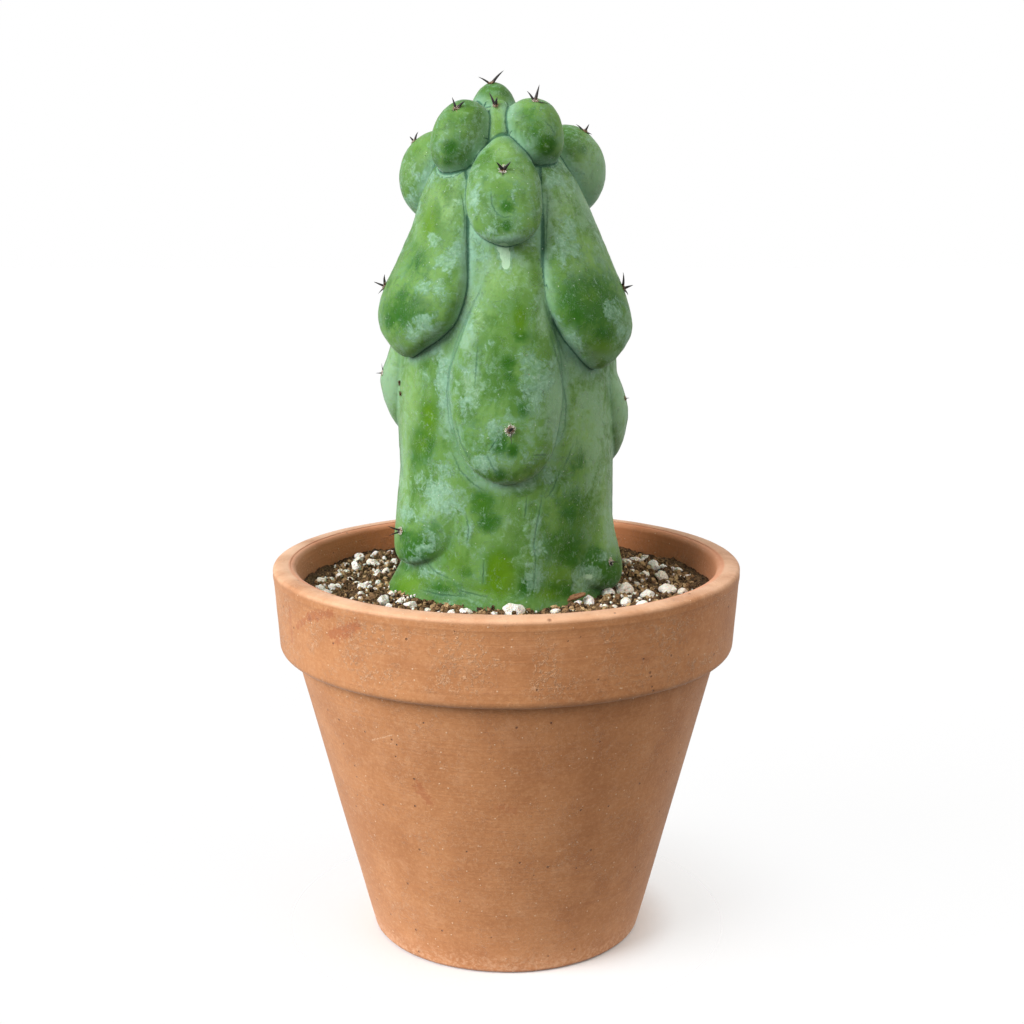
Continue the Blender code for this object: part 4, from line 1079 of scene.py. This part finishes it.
# The wool: a cushion of short felt in each areole, from which the spines stand.
# It is fine plant hair, cream where it is young and tan to brown where it is old.
HAIRS = 110
cushion, cushion_faces = add_lump(bpy.ops.mesh.primitive_ico_sphere_add, subdivisions=3)
hair, hair_faces = add_lump(bpy.ops.mesh.primitive_uv_sphere_add, segments=3, ring_count=5)
cushions, cushion_tones, hairs, hair_tones = [], [], [], []
for spot, way, width, pale, tips in seats:
    stand = np.array(way.to_track_quat("Z", "Y").to_matrix())
    rough = cushion * (1 + draw.normal(0, 0.08, (len(cushion), 1)))
    cushions.append(rough * (1, 1, 0.45) @ stand.T * width * 0.62 * MM + np.array(spot - way * 0.1 * MM))
    cushion_tones.append(pale * 0.2)
    angle, reach = draw.uniform(0, 2 * math.pi, HAIRS), np.sqrt(draw.random(HAIRS)) * width * 0.72
    feet = np.stack((np.cos(angle) * reach, np.sin(angle) * reach, np.zeros(HAIRS)), axis=-1)
    lengths = draw.uniform(0.35, 0.85, (HAIRS, 1)) * (0.6 + 0.4 * width)
    lean = feet / width * 0.9 + (0, 0, 0.75) + draw.normal(0, 0.38, (HAIRS, 3))
    feet, tips_at = (np.array(spot) + v @ stand.T * MM for v in (feet, feet + unit(lean) * lengths))
    bends, radii = draw.normal(0, 0.12, (HAIRS, 3)) * MM, np.full(HAIRS, 0.05 + 0.03 * pale) * MM
    hairs.append(bent_rods(hair, feet, tips_at, bends, radii, 0.4))
    hair_tones.append(np.clip(pale + draw.normal(0, 0.22, HAIRS), 0, 1))
wool_bed = one_piece("wool_cushions", np.array(cushions), cushion_faces, np.array(cushion_tones))
wool_hair = one_piece("wool_hairs", np.concatenate(hairs), hair_faces, np.concatenate(hair_tones))
felt = Finish("felt", {"Specular IOR Level": 0.2})
tone = felt.attribute("tone")
fuzz = felt.noise(5, 4, 0.7)
cream = felt.layered(
    (0.10, 0.05, 0.025),
    ((0.50, 0.34, 0.20), felt.rise(tone, 0.05, 0.5)),
    ((0.90, 0.87, 0.80), felt.rise(tone, 0.5, 0.85)),
    ((0.16, 0.08, 0.04), felt.rise(fuzz, 0.6, 0.75) * 0.3),
)
felt.colour(cream, 0.95)
felt.relief(fuzz, 0.2)
for piece in (wool_bed, wool_hair):
    finish_piece(piece, felt)

# The floor and the light: a plain white studio sweep under a large soft lamp at the front left and a weaker, warmer
# one at the right. The sky is brighter overhead and behind the object, and plain white where the camera sees it.
floor = add_primitive(bpy.ops.mesh.primitive_plane_add, "floor", size=8, location=(0, 0, -0.0001))
paper = Finish("white_paper", {"Specular IOR Level": 0.1})
away = paper.vector("LENGTH", paper.place, output="Value")
fade = paper.rise(away, 150, 35)
paper.feed(paper.shader.inputs["Alpha"], fade * fade * 0.45 + paper.rise(away, 60, 43) * 0.5 + 0.04)
paper.colour((0.8, 0.8, 0.8, 1), 0.9)
floor.data.materials.append(paper.material)
LAMPS = (
    # name, where it shines, strength, spread in degrees, tint
    ("key", (0.76, 0.41, -0.47), 1.5, 42, (1, 1, 1.02)),
    ("fill", (-0.6, 0.3, -0.6), 0.46, 60, (1, 0.93, 0.84)),
)
for name, aim, strength, spread, tint in LAMPS:
    bpy.ops.object.light_add(type="SUN")
    lamp = bpy.context.object
    lamp.name = name
    lamp.data.energy = strength * math.pi
    lamp.data.angle = math.radians(spread)
    lamp.data.color = tint
    lamp.rotation_euler = Vector(aim).to_track_quat("-Z", "Y").to_euler()
world = bpy.data.worlds.new("studio")
world.use_nodes = True
sky = Nodes(world.node_tree)
ahead = sky.node("TexCoord", output="Generated")
brightness = 0
for axis, dark, bright, least, most in (("Z", -0.25, 0.25, 0.22, 0.38), ("Y", 0.1, 0.9, 0, 0.6)):
    share = sky.node("SeparateXYZ", None, {0: ahead}, axis)
    sockets = {"Value": share, "From Min": dark, "From Max": bright, "To Min": least, "To Max": most}
    brightness = sky.node("MapRange", None, sockets) + brightness
seen = sky.node("LightPath", output="Is Camera Ray")
glow = sky.tree.nodes["Background"].inputs
glow["Color"].default_value = (1, 1, 1, 1)
sky.feed(glow["Strength"], sky.node("MapRange", None, {"Value": seen, "To Min": brightness}))
bpy.context.scene.world = world
bpy.context.scene.view_settings.view_transform = "Standard"
